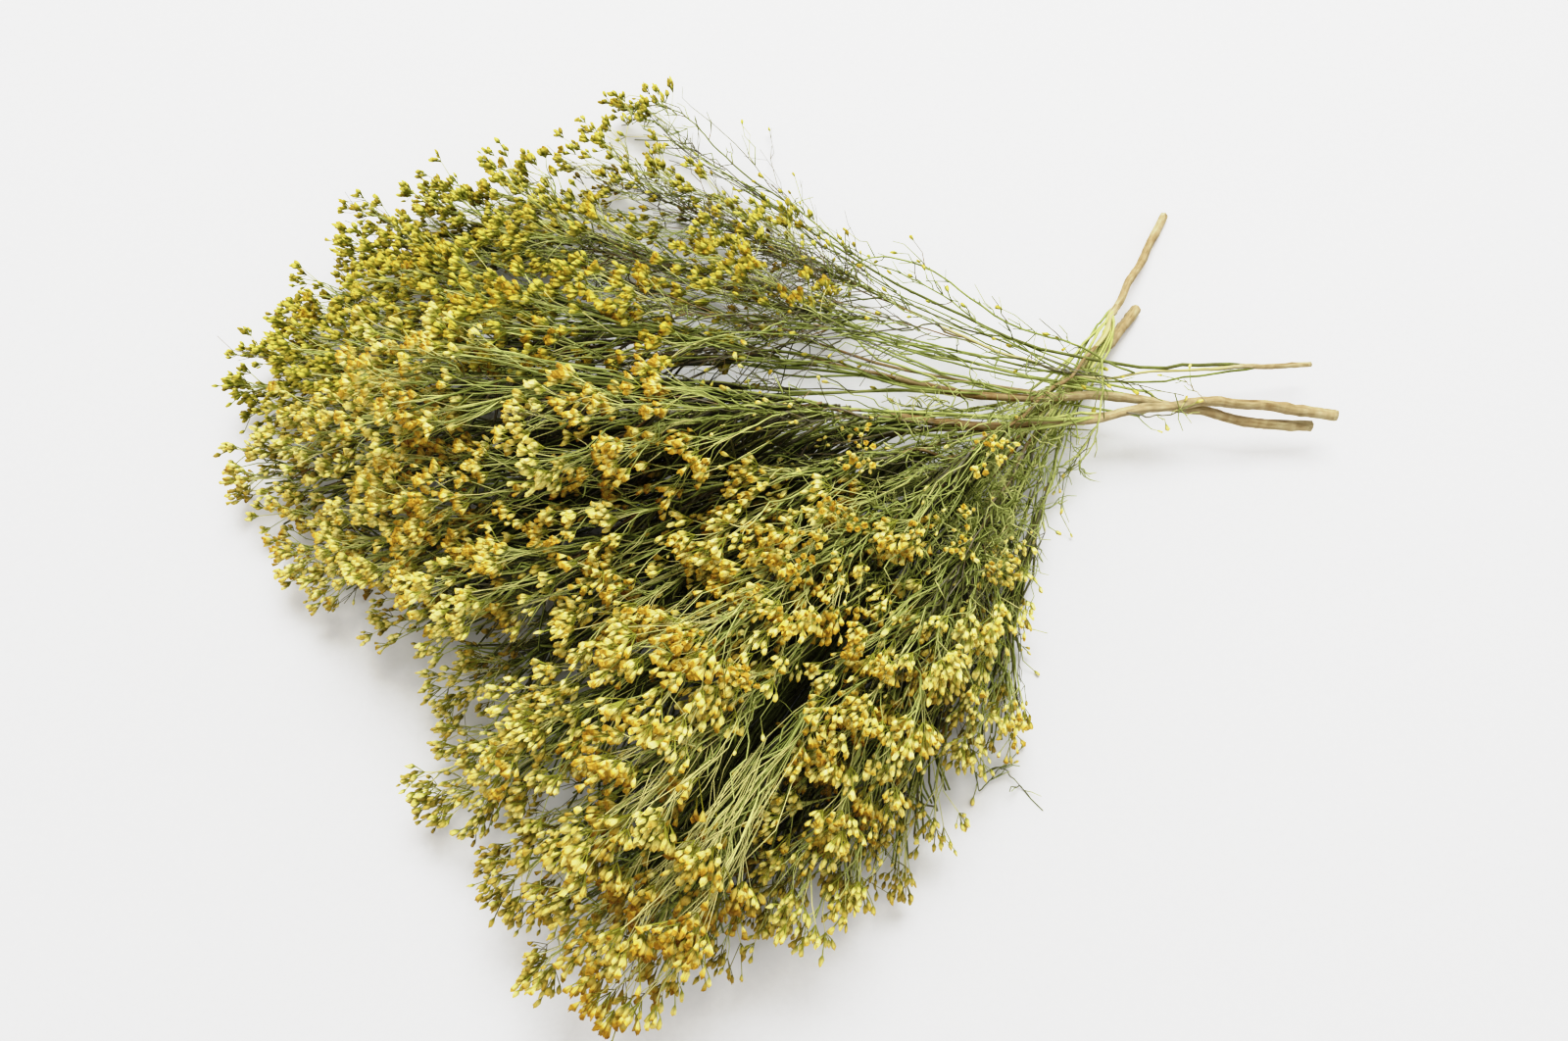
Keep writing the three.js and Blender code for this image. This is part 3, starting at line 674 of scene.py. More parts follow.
def add_buds(skin, hubs, bases, axes, lengths, widths, opened, ripe, shaded, rings, rng):
    """Flower heads on their pedicels, each from its hub to its base and up its axis."""
    count = len(bases)
    if count == 0:
        return
    rise, ruffle = HEAD_ALONG[:rings], HEAD_RUFFLE[:rings, None]
    up, side = frame_of(axes)
    turn = rng.random((count, 1, 1)) * 2 * math.pi

    def ring_of(middle, sides, wide, leans=(0.0, 0.0)):
        angle = turn + 2 * math.pi * np.arange(sides) / sides
        return (middle + up[:, None, None] * (np.cos(angle) * wide + leans[0])[..., None]
                + side[:, None, None] * (np.sin(angle) * wide + leans[1])[..., None])

    neck_radius = np.stack([np.full(count, PEDICEL_RADIUS), NECK_WIDTH * widths], 1)[..., None]
    necks = ring_of(np.stack([hubs, bases], 1)[:, :, None], NECK_SIDES, neck_radius)
    profile = mix(HEAD_SHUT[:rings], HEAD_OPEN[:rings], opened[:, None])[..., None]
    swell = 1 + ruffle * rng.uniform(-1, 1, (count, rings, HEAD_SIDES))
    lift = rise[:, None] + 0.4 * ruffle * rng.uniform(-1, 1, (count, rings, HEAD_SIDES))
    height = lift * lengths[:, None, None]
    lean = rng.normal(0, HEAD_LEAN, (count, 2, 1)) * lengths[:, None, None] * rise ** 2
    middle = bases[:, None, None] + axes[:, None, None] * height[..., None]
    heads = ring_of(middle, HEAD_SIDES, profile * swell * widths[:, None, None],
                    (lean[:, 0, :, None], lean[:, 1, :, None]))
    tops = (bases + axes * (mix(HEAD_TOP[0], HEAD_TOP[1], opened) * lengths)[:, None]
            + up * lean[:, 0, -1:] + side * lean[:, 1, -1:])
    places = np.concatenate([part.reshape(count, -1, 3) for part in (necks, heads, tops)], 1)

    # Map: one cell for each mix of ripeness, and of chance with painted shade, with the crown at its
    # top
    levels = np.concatenate([[0.02, 0.16], 0.16 + 0.76 * rise, [1.0]])
    neck = np.arange(2 * NECK_SIDES).reshape(2, NECK_SIDES)
    ring = 2 * NECK_SIDES + np.arange(rings * HEAD_SIDES).reshape(rings, HEAD_SIDES)
    top = 2 * NECK_SIDES + rings * HEAD_SIDES

    def band(low, high, low_v, high_v):
        sides = len(low)
        left, right = np.arange(sides) / sides, (np.arange(sides) + 1) / sides
        quads = np.stack([low, np.roll(low, -1), np.roll(high, -1), high], -1)
        v = np.array([low_v, low_v, high_v, high_v]) + np.zeros((sides, 1))
        return quads, np.stack([np.stack([left, right, right, left], -1), v], -1)

    parts = [band(neck[0], neck[1], levels[0], levels[1])]
    parts += [band(ring[at], ring[at + 1], levels[at + 2], levels[at + 3])
              for at in range(rings - 1)]
    rows, sides = (neck[1], ring[0]), (NECK_SIDES, HEAD_SIDES)
    parts.append((
        np.array([[rows[row][corner % sides[row]] for row, corner in corners]
                  for corners in SEAM]),
        np.array([[(corner / sides[row], levels[1 + row]) for row, corner in corners]
                  for corners in SEAM])))
    left = np.arange(HEAD_SIDES) / HEAD_SIDES
    parts.append((
        np.stack([ring[-1], np.roll(ring[-1], -1), np.full(HEAD_SIDES, top)], -1),
        np.stack([np.stack([left, left + 0.2, left + 0.1], -1),
                  np.array([levels[-2], levels[-2], 1.0]) + np.zeros((HEAD_SIDES, 1))], -1)))
    parts.append((neck[0, ::-1][None], np.array([[(0.0, 0.0), (0.5, 0.0), (0.25, 0.02)]])))

    ripe_cell = column_of(ripe)
    # The second cell is darker by chance, and by the painted shade of heads deep in the bloom
    chance_and_shade_cell = np.floor(rng.uniform(0.12, 1, count) * (1 - 0.85 * shaded) * MAP_COLUMNS)
    cell = np.stack([ripe_cell, chance_and_shade_cell], -1)[:, None, None]
    shift = (np.arange(count) * (top + 1))[:, None, None]
    faces = [(part[None] + shift).reshape(-1, part.shape[1]) for part, _ in parts]
    maps = [((cell + MAP_INSET + MAP_INNER * spots[None]) / MAP_COLUMNS).reshape(-1, *spots.shape[1:])
            for _, spots in parts]
    marks = np.concatenate([np.repeat([PEDICEL_MARK, 0.0], NECK_SIDES),
                            np.repeat(rise, HEAD_SIDES), [TOP_MARK]])
    skin.add(places, faces, maps, along=np.tile(marks, count),
             ripe=np.repeat((ripe_cell + 0.5) / MAP_COLUMNS, top + 1),
             dice=np.repeat((chance_and_shade_cell + 0.5) / MAP_COLUMNS, top + 1))


# Growth of the fine parts. A plant holds one stem's habits, its draws and its skins.

def changed(plant, **changes):
    return SimpleNamespace(**{**vars(plant), **changes})


def any_way(rng, count, flat=1.0):
    """Directions by chance, less up and down than aside."""
    return unit(rng.normal(0, 1, (count, 3)) * [1, 1, flat])


def fan_out(axes, each, half_angle, rng, chance=0.0):
    """A fan of directions evenly round each axis, and which axis each one is round."""
    owner = np.repeat(np.arange(len(axes)), each)
    index = np.tile(np.arange(each), len(axes))
    turn = np.repeat(rng.random(len(axes)) * 2 * math.pi, each)
    if chance:
        turn = turn + rng.normal(0, chance, len(owner))
    cosine = 1 - (index + 0.5) / each * (1 - math.cos(math.radians(half_angle)))
    sine = np.sqrt(np.maximum(1 - cosine * cosine, 0))
    angle = turn + index * GOLDEN_ANGLE
    up, side = frame_of(axes[owner])
    return owner, (axes[owner] * cosine[..., None]
                   + up * (np.cos(angle) * sine)[..., None]
                   + side * (np.sin(angle) * sine)[..., None])


def curves(starts, ways, ends, aims, points):
    """Smooth curves that leave along ways and arrive along aims: (n, points, 3)."""
    span = np.linalg.norm(ends - starts, axis=1, keepdims=True)
    t = np.linspace(0, 1, points)[None, :, None]
    near = starts + ways * span * CURVE_PULL
    far = ends - aims * span * CURVE_PULL
    return bezier(starts[:, None], near[:, None], far[:, None], ends[:, None], t)


def wander(paths, rng, amount, waves=2.5, kink=0.0):
    """Slow bends and small kinks, square to the run, that leave both ends in place."""
    tubes, points, _ = paths.shape
    t = np.linspace(0, 1, points)[None, :, None]
    up, side = frame_of(unit(paths[:, -1] - paths[:, 0]))
    phase = rng.random((tubes, 1, 2)) * 2 * math.pi
    speed = waves * rng.uniform(0.6, 1.5, (tubes, 1, 2))
    bend = np.sin(2 * math.pi * speed * t + phase) * np.sin(math.pi * t)
    bend = bend * np.asarray(amount).reshape(-1, 1, 1)
    bend[:, 1:-1] += rng.normal(0, 1, (tubes, points - 2, 2)) * kink
    return paths + up[:, None] * bend[..., :1] + side[:, None] * bend[..., 1:]


def zigzag(root, way, draw, reach, points, aside, rng):
    """Angular stems: each step turns a little, and is drawn back to the given way."""
    flat = np.array([1, 1, 0.45])
    heading = unit(way + any_way(rng, len(root), flat[2]) * aside)
    steps = [root]
    for _ in range(points - 1):
        steps.append(steps[-1] + heading * reach / (points - 1))
        heading = unit(heading + draw * 0.22 + rng.normal(0, 0.26, root.shape) * flat)
    return above_floor(np.stack(steps, 1), 0.7)


def on_line(spray, at, step=0.2):
    """Places at steps along a spray's limb and twig, and the way onward from each."""
    root, onward = (on_route(spray.line, np.minimum(place, LINE_END) / LINE_END)
                    for place in (at, at + step))
    return root, unit(onward - root)


def bare_until(plant, spray, count):
    """Where along a spray's line its limb stops being bare, for each of count stems."""
    away = np.hypot(spray.line[:, 0] - spray.pivot[0], spray.line[:, 1] - spray.pivot[1])
    return np.interp(plant.rng.uniform(*plant.clear, count), np.maximum.accumulate(away),
                     np.arange(len(away)))


def in_shade(plant, places):
    """How deep each place lies under the bloom, for painted shade: 0 at the top, 1 deep below."""
    shaded = np.zeros(len(places))
    for x, y, top in plant.canopy:
        near = np.hypot(places[:, 0] - x, places[:, 1] - y) < CANOPY_REACH
        shaded[near] = np.maximum(shaded[near], top - places[near, 2])
    return np.clip((shaded - SHADE_START) / SHADE_DEPTH, 0, 1)


BOX_LOW, BOX_HIGH = (np.array(corner) * 1000 + BUNCH_CENTRE for corner in CAD_BOX)


def inside(paths):
    """Whether each stem keeps within the frame's box."""
    return np.all((paths > BOX_LOW + NET_MARGIN) & (paths < BOX_HIGH - NET_MARGIN), axis=(1, 2))


def in_box(places, margin):
    """The places, folded back to keep a margin within the frame's box seen from above."""
    low, high = BOX_LOW[:2] + margin, BOX_HIGH[:2] - margin
    flat = places[..., :2]
    flat = np.where(flat < low, 2 * low - flat, flat)
    places[..., :2] = np.where(flat > high, 2 * high - flat, flat)
    return places


def tones_of(plant, kind, points, tubes):
    """Tones from root to end for stems of one kind, with some chance to each stem."""
    _, (root, end), chance, airy, _ = KINDS[kind]
    tone = np.linspace(root - airy * plant.airy, end, points) + plant.rng.normal(0, chance, (tubes, 1))
    return np.clip(tone + 0.2 * plant.pale, 0.01, 0.99)


def add_fine(plant, kind, paths, stout=1.0, tone=None):
    """Fine stems of one kind along the paths, with their radii times stout."""
    tubes, points, _ = paths.shape
    if tone is None:
        tone = tones_of(plant, kind, points, tubes)
    given = KINDS[kind][0]
    radii = np.interp(np.linspace(0, 1, points), np.linspace(0, 1, len(given)), given)
    add_tubes(plant.fine, paths, radii * stout, tone, plant.rng, flat=KINDS[kind][4])


def bud_ends(plant, paths, share):
    """Small shut heads at the ends of a share of the stems."""
    rng = plant.rng
    paths = paths[rng.random(len(paths)) < share]
    total, roots, ways = len(paths), paths[:, -1], unit(paths[:, -1] - paths[:, -2])
    lengths = rng.uniform(2.8, 4.6, total)
    bases = above_floor(roots + ways * 0.8, 1.6)
    ways[:, 2] = np.maximum(ways[:, 2], np.minimum(0, (1.6 - bases[:, 2]) / lengths))
    ripe = np.clip(plant.ripe - 0.1 + rng.normal(0, 0.15, total), 0, 0.999)
    widths = lengths * rng.normal(0.56, 0.05, total)
    opened = rng.uniform(0, 0.6, total)
    add_buds(plant.bloom, roots, bases, unit(ways), lengths, widths, opened, ripe,
             in_shade(plant, bases), 2, rng)


def grow_heads(plant, hubs, ways, axes, sizes, count, ripeness, crowned):
    """Tight fans of flower heads round the hubs, each on its own pedicel."""
    rng = plant.rng
    ripeness = ripeness + rng.normal(0, 0.15, len(hubs))
    owner, fan = fan_out(ways, count, HEAD_FAN, rng)
    total = len(owner)
    fan = unit(fan + rng.normal(0, 0.16, fan.shape) + axes[owner] * 0.5)
    reach = sizes[owner] * rng.uniform(0.12, 0.36, total) * plant.stalk
    reach *= np.where(rng.random(total) < LONG_STALKS, rng.uniform(1.4, 2.4, total), 1)
    lengths = rng.normal(HEAD_LENGTH, 0.55, total) * np.where(rng.random(total) < 0.14, 0.72, 1)
    lengths *= plant.bud * (0.84 + 0.19 * np.clip(hubs[owner, 2] / 120, 0, 1))
    widths = lengths * rng.normal(HEAD_WIDTH, 0.07, total)
    bases = in_box(hubs[owner] + fan * reach[:, None], -HEAD_OVERHANG)
    bases[:, 2] = np.maximum(bases[:, 2], 2.2 + rng.random(total))
    heading = unit(unit(bases - hubs[owner]) + axes[owner] * plant.aligned
                   + rng.normal(0, 0.18, fan.shape))
    heading[:, 2] = np.maximum(heading[:, 2], np.minimum(0, (2.2 - bases[:, 2]) / lengths))
    dim = np.clip((DIM_Y - bases[:, 1]) / DIM_RUN, 0, 1)
    ripe = ripeness[owner] + rng.normal(0, 0.13, total) - 0.06 * dim
    opened = np.clip(ripe + rng.normal(0.05, 0.3, total), 0, 1)
    ripe, heading, upper = np.clip(ripe, 0, 0.999), unit(heading), crowned[owner]
    # Painted shade: heads deep under the bloom and low down are darker, and so are those in front of
    # DIM_Y
    shaded = (in_shade(plant, bases) + 0.45 * np.clip((75 - bases[:, 2]) / 60, 0, 1) + 0.62 * dim)
    seen = (shaded < 0.9) | (rng.random(total) < 0.5)
    shaded = np.clip(shaded, 0, 1)
    for chosen, rings in ((upper & seen, 3), (~upper & seen, 2)):
        add_buds(plant.bloom, hubs[owner][chosen], bases[chosen], heading[chosen], lengths[chosen],
                 widths[chosen], opened[chosen], ripe[chosen], shaded[chosen], rings, rng)


def grow_clumps(plant, spray, leave, ends, axes, sizes, subs, heads, crowned):
    """One fine branch to each end, with side stems and their heads round that end."""
    rng, count = plant.rng, len(ends)
    start, ahead = on_line(spray, leave, 0.25)
    branches = curves(start, ahead, ends - axes * (sizes * 0.35)[:, None], axes, 10)
    bend = rng.uniform(0.8, 3.2, count) * (1 + 2 * plant.airy)
    branches = above_floor(wander(branches, rng, bend, 2.5, 0.45 + plant.airy), 0.9)
    stout = rng.uniform(0.75, 1.2, (count, 1)) * (1 - 0.55 * plant.airy)
    # Clumps behind the crown take darker branch tones, as painted shade
    add_fine(plant, "branch" if crowned else "low_branch", branches, stout)

    owner, out = fan_out(axes, subs, CLUMP_FAN, rng, 0.3)
    total = len(owner)
    out = unit(out + rng.normal(0, 0.15, out.shape))
    ways = unit(axes[owner] * 0.75 + out * 0.85)
    off = sizes[owner] * rng.uniform(0.2, 1.0, total) * plant.spread
    hubs = above_floor(in_box(ends[owner] + out * off[:, None], HUB_MARGIN), 2.0)
    hubs[:, 2] = np.minimum(hubs[:, 2], CEILING)
    at = rng.integers(4, 9, total)
    root = branches[owner, at]
    stems = curves(root, unit(branches[owner, at + 1] - root), hubs, ways, 4)
    stems = above_floor(wander(stems, rng, rng.uniform(0.1, 0.5, total), 1.5), 0.6)
    add_fine(plant, "stalk", stems, 1 - 0.4 * plant.airy)
    ripeness = spray.ripe + rng.normal(0, 0.18, count)[owner]
    upper = crowned & (hubs[:, 2] > ends[owner, 2] - 1)
    grow_heads(plant, hubs, ways, axes[owner], sizes[owner], heads, ripeness, upper)


def grow_spray(plant, spray):
    """The bloom of one spray: a clump at each of its clusters, and more between them."""
    rng, growth, radius = plant.rng, spray.growth, spray.radius
    lift = np.clip((spray.line[-1][2] - 85) / 190, -0.3, 0.14)
    crowd, golden = TOUCHES.get(spray.name, (1.0, 0.0))
    spray.ripe = plant.ripe + lift + golden + rng.normal(0, 0.15)
    centres, origins, sizes, reach = (
        np.array([getattr(cluster, part) for cluster in spray.clusters], float)
        for part in ("centre", "origin", "size", "reach"))
    axes = unit(centres - origins) * 0.45 + growth * 0.7
    axes = unit(axes + rng.normal(0, 0.08, axes.shape))
    count = len(centres)
    bare = bare_until(plant, spray, count)
    early = rng.uniform(np.minimum(bare, reach - 0.8), reach - 0.7)
    early = np.where(rng.random(count) < plant.early, early, reach - rng.uniform(0.5, 1.6, count))
    subs, heads = round(7 - 2.0 * plant.airy), round(8 - 4.0 * plant.airy)
    heads = round(heads * min(1, 0.6 + 0.4 * crowd))
    if spray.name in SHEAF:
        early = rng.uniform(2.2, 4.8, count)
        plant = changed(plant, pale=SHEAF_PALE, airy=SHEAF_AIRY)
    grow_clumps(plant, spray, np.clip(early, 0.6, LINE_END - 0.4), centres, axes, sizes,
                subs, heads, True)

    # Between and behind the clusters, where the frame's solids leave room
    more = round(FILL_PER_HEAD * plant.fill * crowd * radius / 30 * (1 - 0.35 * plant.airy))
    forward = 0.9 - 1.95 * ((np.arange(more) + rng.random(more)) / more) ** 1.15
    turn = rng.random() * 6 + np.arange(more) * GOLDEN_ANGLE
    away = radius * np.sqrt(rng.uniform(0.1, 0.95, more)) * 0.95
    up, side = frame_of(growth)
    middle = spray.line[-1] - growth * (TWIG_END * radius)
    ends = (middle + growth * (forward * radius)[:, None]
            + up * (np.cos(turn) * away * 0.75)[:, None] + side * (np.sin(turn) * away)[:, None])
    ends = above_floor(ends, 7.0)
    lean = unit(ends - (middle - growth * radius * 2.6))
    axes = unit(growth * 0.7 + lean * 0.6 + rng.normal(0, 0.12, lean.shape))
    reach = LIMB_STEPS + TWIG_STEPS * (forward - 0.9 - TWIG_START) / (TWIG_END - TWIG_START)
    leave = np.maximum(reach - rng.uniform(0.2, 2.6, more), bare_until(plant, spray, more))
    leave = np.clip(np.minimum(leave, reach - 0.2), 0.7, LINE_END - 0.5)
    front = forward > -0.55
    full = 5 if spray.open else 3
    if spray.name in SHEAF:
        leave = np.where(front, rng.uniform(2.6, 5.2, more), leave)
    for chosen, subs, heads in ((front, full - 1, full + 1), (~front, 2, 4)):
        if chosen.any():
            grow_clumps(plant, spray, leave[chosen], ends[chosen], axes[chosen],
                        rng.uniform(9, 13, chosen.sum()), subs, heads, False)


def grow_back(plant, spray):
    """Clumps of bloom that stand on the limb, well behind the spray's head."""
    rng, count = plant.rng, plant.back
    leave = rng.uniform(3.0, 4.6, count)
    base = on_route(spray.line, (leave + rng.uniform(0.4, 0.9, count)) / LINE_END)
    ahead = unit(base - on_route(spray.line, leave / LINE_END))
    up, side = frame_of(ahead)
    turn = rng.uniform(-0.45, 0.45, (count, 1)) * math.pi
    out = up * np.cos(turn) + side * np.sin(turn)
    ends = above_floor(base + out * rng.uniform(5, 20, (count, 1)), 9.0)
    axes = unit(ahead * 0.8 + out * 0.7 + rng.normal(0, 0.12, out.shape))
    grow_clumps(plant, spray, leave, ends, axes, rng.uniform(9, 14, count), 5, 5, True)


def grow_under(plant, spray):
    """Thin stems between a spray's head and the table, in dark tones that paint the shade there."""
    rng, middle, radius = plant.rng, spray.line[-1], spray.radius
    count = round(plant.under * np.clip((middle[2] - 5) / 60, 0.5, 1))
    leave = np.maximum(rng.uniform(2.3, 5.5, count), bare_until(plant, spray, count))
    start = on_route(spray.line, np.minimum(leave, 5.5) / LINE_END)
    growth = spray.growth * [1, 1, 0]
    side = np.cross(growth, [0, 0, 1])
    away = rng.uniform(-1, 1, (count, 1)) * radius
    ends = middle + growth * (rng.uniform(-1.7, 0.45, (count, 1)) * radius) + side * away
    ends[:, 2] = rng.uniform(2.5, max(12, 0.7 * middle[2]), count)
    way = unit(ends - start)
    ahead = unit(way + growth * 0.3 + rng.normal(0, 0.12, start.shape))
    aims = unit(way + side * away / radius * 0.6 + rng.normal(0, 0.15, start.shape))
    paths = above_floor(wander(curves(start, ahead, ends, aims, 5), rng, 1.6, 1.5, 0.5), 0.8)
    add_fine(plant, "under", paths, min(1, plant.stout / 0.6))


def grow_runners(plant, spray):
    """Thin stems that run beside the limb, and end in a small shut head or bare."""
    rng, points, count = plant.rng, 10, round(plant.runners * (1 - 0.5 * plant.airy))
    bare = bare_until(plant, spray, count) - rng.uniform(0, 1.5, count)
    first = np.clip(rng.uniform(0.9, 4.2, count), np.minimum(bare, 4.4), 4.4)
    stop = np.minimum(first + rng.uniform(1.4, 3.6, count), LINE_END - 0.5)
    share = np.linspace(0, 1, points)[None]
    along = (first[:, None] + (stop - first)[:, None] * share) / LINE_END
    paths = on_route(spray.line, along.ravel()).reshape(count, points, 3)
    up, side = frame_of(unit(paths[:, -1] - paths[:, 0]))
    turn = rng.random((count, 1)) * 2 * math.pi
    off = rng.uniform(4, 17, (count, 1)) * (1 + 1.5 * plant.airy)
    push = (share ** 0.75)[..., None]
    paths = paths + push * (up * np.cos(turn) * off * 0.6 + side * np.sin(turn) * off)[:, None]
    paths = above_floor(wander(paths, rng, rng.uniform(0.8, 2.6, count), 2.5, 0.55), 0.8)
    tone = tones_of(plant, "runner", points, count)
    stout = rng.uniform(0.65, 1.2, (count, 1)) * (1 - 0.4 * plant.airy)
    add_fine(plant, "runner", paths, stout, tone)
    bud_ends(plant, paths, 0.5)
    grow_twigs(plant, paths, round(count * TWIGS_PER_RUNNER), 8, 26)


def grow_twigs(plant, paths, count, shortest, longest):
    """Short angular side twigs on the given stems, some forked and some with a bud."""
    rng = plant.rng
    owner = rng.integers(0, len(paths), count)
    at = rng.integers(1, paths.shape[1] - 1, count)
    root = paths[owner, at]
    ahead = unit(paths[owner, at + 1] - root)
    lean = rng.uniform(0.25, 0.9, (count, 1)) * (1 + 0.5 * plant.airy)
    way = unit(ahead + any_way(rng, count, 0.7) * lean)
    reach = rng.uniform(shortest, longest, (count, 1))
    steps = np.array([0, 0.35, 0.68, 1.0])[None, :, None]
    twigs = root[:, None] + way[:, None] * reach[:, None] * steps
    kink = rng.normal(0, 0.085, (count, 4, 3)) * reach[:, None]
    kink[:, 0] = 0
    twigs += kink + ahead[:, None] * reach[:, None] * 0.25 * steps ** 2
    twigs = above_floor(in_box(twigs, -HEAD_OVERHANG), 0.7)
    add_fine(plant, "twig", twigs)
    bud_ends(plant, twigs, 0.35)
    forked = rng.random(count) < 0.6
    base, end = twigs[forked, 1], unit(twigs[:, -1] - twigs[:, -2])[forked]
    turned = unit(end + any_way(rng, len(base)) * 0.8)
    span = reach[forked] * rng.uniform(0.25, 0.55, (len(base), 1))
    forks = np.stack([base, base + turned * span * 0.5, base + (turned + end * 0.3) * span], 1)
    add_fine(plant, "fork", above_floor(forks, 0.7))


def grow_leaves(plant, spray):
    """Narrow leaves along a spray's limb and twig."""
    rng, count = plant.rng, plant.leafy
    root, ahead = on_line(spray, rng.uniform(*plant.leaf_run, count))
    out = any_way(rng, count, 0.6)
    root = above_floor(root + out * rng.uniform(1, 9, (count, 1)), 1.5)
    keep = (root[:, 1] < LEAFY_Y) | (root[:, 0] < spray.pivot[0] - 120)
    root, ahead, out, count = root[keep], ahead[keep], out[keep], keep.sum()
    way = unit(ahead * 0.9 + out * rng.uniform(0.2, 1.3, (count, 1)))
    reach = rng.uniform(6, 15, (count, 1))
    curl = any_way(rng, count) * reach * 0.16
    steps = np.array([0, 0.33, 0.7, 1.0])[None, :, None]
    leaves = (root[:, None] + way[:, None] * reach[:, None] * steps
              + curl[:, None] * (4 * steps * (1 - steps)))
    add_fine(plant, "leaf", above_floor(leaves, 0.8), rng.uniform(0.7, 1.15, (count, 1)))


def grow_tangle(plant, spray):
    """Curly twigs where a spray's limb leaves the others, with small curled leaves."""
    rng, count, points, leaves_each = plant.rng, plant.tangle, 9, 4
    root, ahead = on_line(spray, rng.uniform(0.7, 3.0, count))
    keep = ((root[:, 1] < LEAFY_Y - rng.uniform(0, 14, count))
            & (root[:, 0] < rng.uniform(95, 165, count)))
    root, ahead, count = root[keep], ahead[keep], keep.sum()
    root = root + [0, 0, 1] * rng.uniform(0, 14, (count, 1))
    out = unit(rng.normal(0, 1, (count, 3)) * [1, 1, 0.5] + [0, 0, 0.25])
    way = unit(ahead * 0.6 + out * rng.uniform(0.4, 1.4, (count, 1)))
    reach = rng.uniform(16, 40, (count, 1))
    share = np.linspace(0, 1, points)[None, :, None]
    curl = unit(np.cross(way, rng.normal(0, 1, (count, 3))))
    twigs = (root[:, None] + (way * reach)[:, None] * share
             + (curl * reach * rng.uniform(-0.5, 0.5, (count, 1)))[:, None] * share ** 2)
    twigs = above_floor(wander(twigs, rng, rng.uniform(1.5, 5.0, count), 2.2, 1.0), 0.8)
    add_fine(plant, "curl", twigs)
    owner = np.repeat(np.arange(count), leaves_each)
    total = len(owner)
    at = rng.integers(1, points - 1, total)
    base = twigs[owner, at]
    onward = unit(twigs[owner, at + 1] - base)
    aim = unit(onward + any_way(rng, total) * rng.uniform(0.5, 1.2, (total, 1)))
    span = rng.uniform(4, 12, (total, 1))
    aside = unit(np.cross(aim, rng.normal(0, 1, base.shape))) * span * 0.28
    leaves = np.stack([base, base + aim * span * 0.4 + aside, base + aim * span * 0.8 + aside,
                       base + (aim + onward * 0.4) * span - aside * 0.4], 1)
    add_fine(plant, "curl_leaf", above_floor(leaves, 0.8), rng.uniform(0.7, 1.2, (total, 1)))


def grow_net(plant, spray):
    """Thin angular stems that leave the limb and fork twice, some ending in a bud."""
    rng, count = plant.rng, plant.net
    at = np.maximum(rng.uniform(2.0, 5.8, count), bare_until(plant, spray, count) - 0.6)
    root, ahead = on_line(spray, np.minimum(at, 5.8), 0.3)
    stems = zigzag(root, ahead, ahead, rng.uniform(30, 80, (count, 1)), 8, 0.5, rng)
    stems = stems[inside(stems)]
    add_fine(plant, "net", stems)
    for kind, forks, points, *reaches in (("net_fork", 4, 5, 10, 34), ("net_tip", 1, 4, 5, 16)):
        owner = np.repeat(np.arange(len(stems)), forks)
        at = rng.integers(1, stems.shape[1] - 1, len(owner))
        base = stems[owner, at]
        onward = unit(stems[owner, at + 1] - base)
        reach = rng.uniform(*reaches, (len(owner), 1))
        stems = zigzag(base, onward, unit(onward + ahead[0]), reach, points, 0.75, rng)
        stems = stems[inside(stems)]
        add_fine(plant, kind, stems)
        bud_ends(plant, stems, 0.25)


def grow_limb(plant, spray):
    """The limb and twig of a spray as one tapering stem, with kinks and small nodes."""
    rng, t = plant.rng, np.linspace(0, 1, 30)
    path = above_floor(wander(on_route(spray.line, t)[None], rng, 2.2, 4.0, 0.32), 1.6)
    girth = (plant.stout + plant.stout * rng.random() ** 1.6) * (1 - 0.5 * t ** 0.8)
    nodes = np.sin(t * 2 * math.pi * rng.uniform(5, 8) + rng.random() * 6) > 0.93
    girth = girth * (1 + 0.22 * nodes)
    if rng.random() < plant.woody:
        turned = ease((t - rng.uniform(0.1, 0.4)) / 0.5)
        tone = mix(rng.uniform(0.16, 0.30), 0.62, turned)
    else:
        tone = mix(plant.limb, 0.66, np.clip(t * 1.4, 0, 1))
    tone = np.clip(tone + 0.1 * t + rng.normal(0, 0.04), 0.01, 0.99)
    add_tubes(plant.wood, path, girth, tone, rng, sides=4)
    grow_twigs(plant, path[:, 4:20], plant.twigs, 3, 11)


def grow_trunk(plant, stem):
    """The woody stem, with ridges in its bark, knots and slight bends."""
    rng, points, sides, knot_count = plant.rng, 96, 14, 9
    t = np.linspace(0, 1, points)
    path = wander(on_route(stem["route"], t)[None], rng, 0.8, 5.0, 0.06)
    knots = np.zeros(points)
    for place in np.linspace(0.06, 0.95, knot_count) + rng.uniform(-0.04, 0.04, knot_count):
        knots += rng.uniform(0.08, 0.28) * np.exp(-((t - place) / 0.012) ** 2)
    angle = 2 * math.pi * np.arange(sides) / sides
    ridges = np.zeros((points, sides))
    for waves in (3, 5, 7):
        twist = rng.uniform(-2, 2)
        ridges += 0.045 * np.sin(waves * angle + twist * 6 * t[:, None] + rng.random() * 6)
    ridges += rng.normal(0, 0.02, (points, sides))
    shape = 0.94 + ridges + knots[:, None] * (0.6 + 0.4 * np.cos(angle + rng.random() * 6))
    bark = 0.12 + 0.04 * np.sin(t * 9) + 0.10 * t
    tone = np.clip(mix(bark, 0.0, ease((t - plant.bark_end) / 0.2)), 0, 0.99)
    girth = mix(stem["cut"], stem["end"], t)
    girth = girth * (1 - 0.45 * np.clip((t - plant.bark_end) / 0.3, 0, 1))
    add_tubes(plant.wood, path, girth, tone, rng, sides=sides, shape=shape)


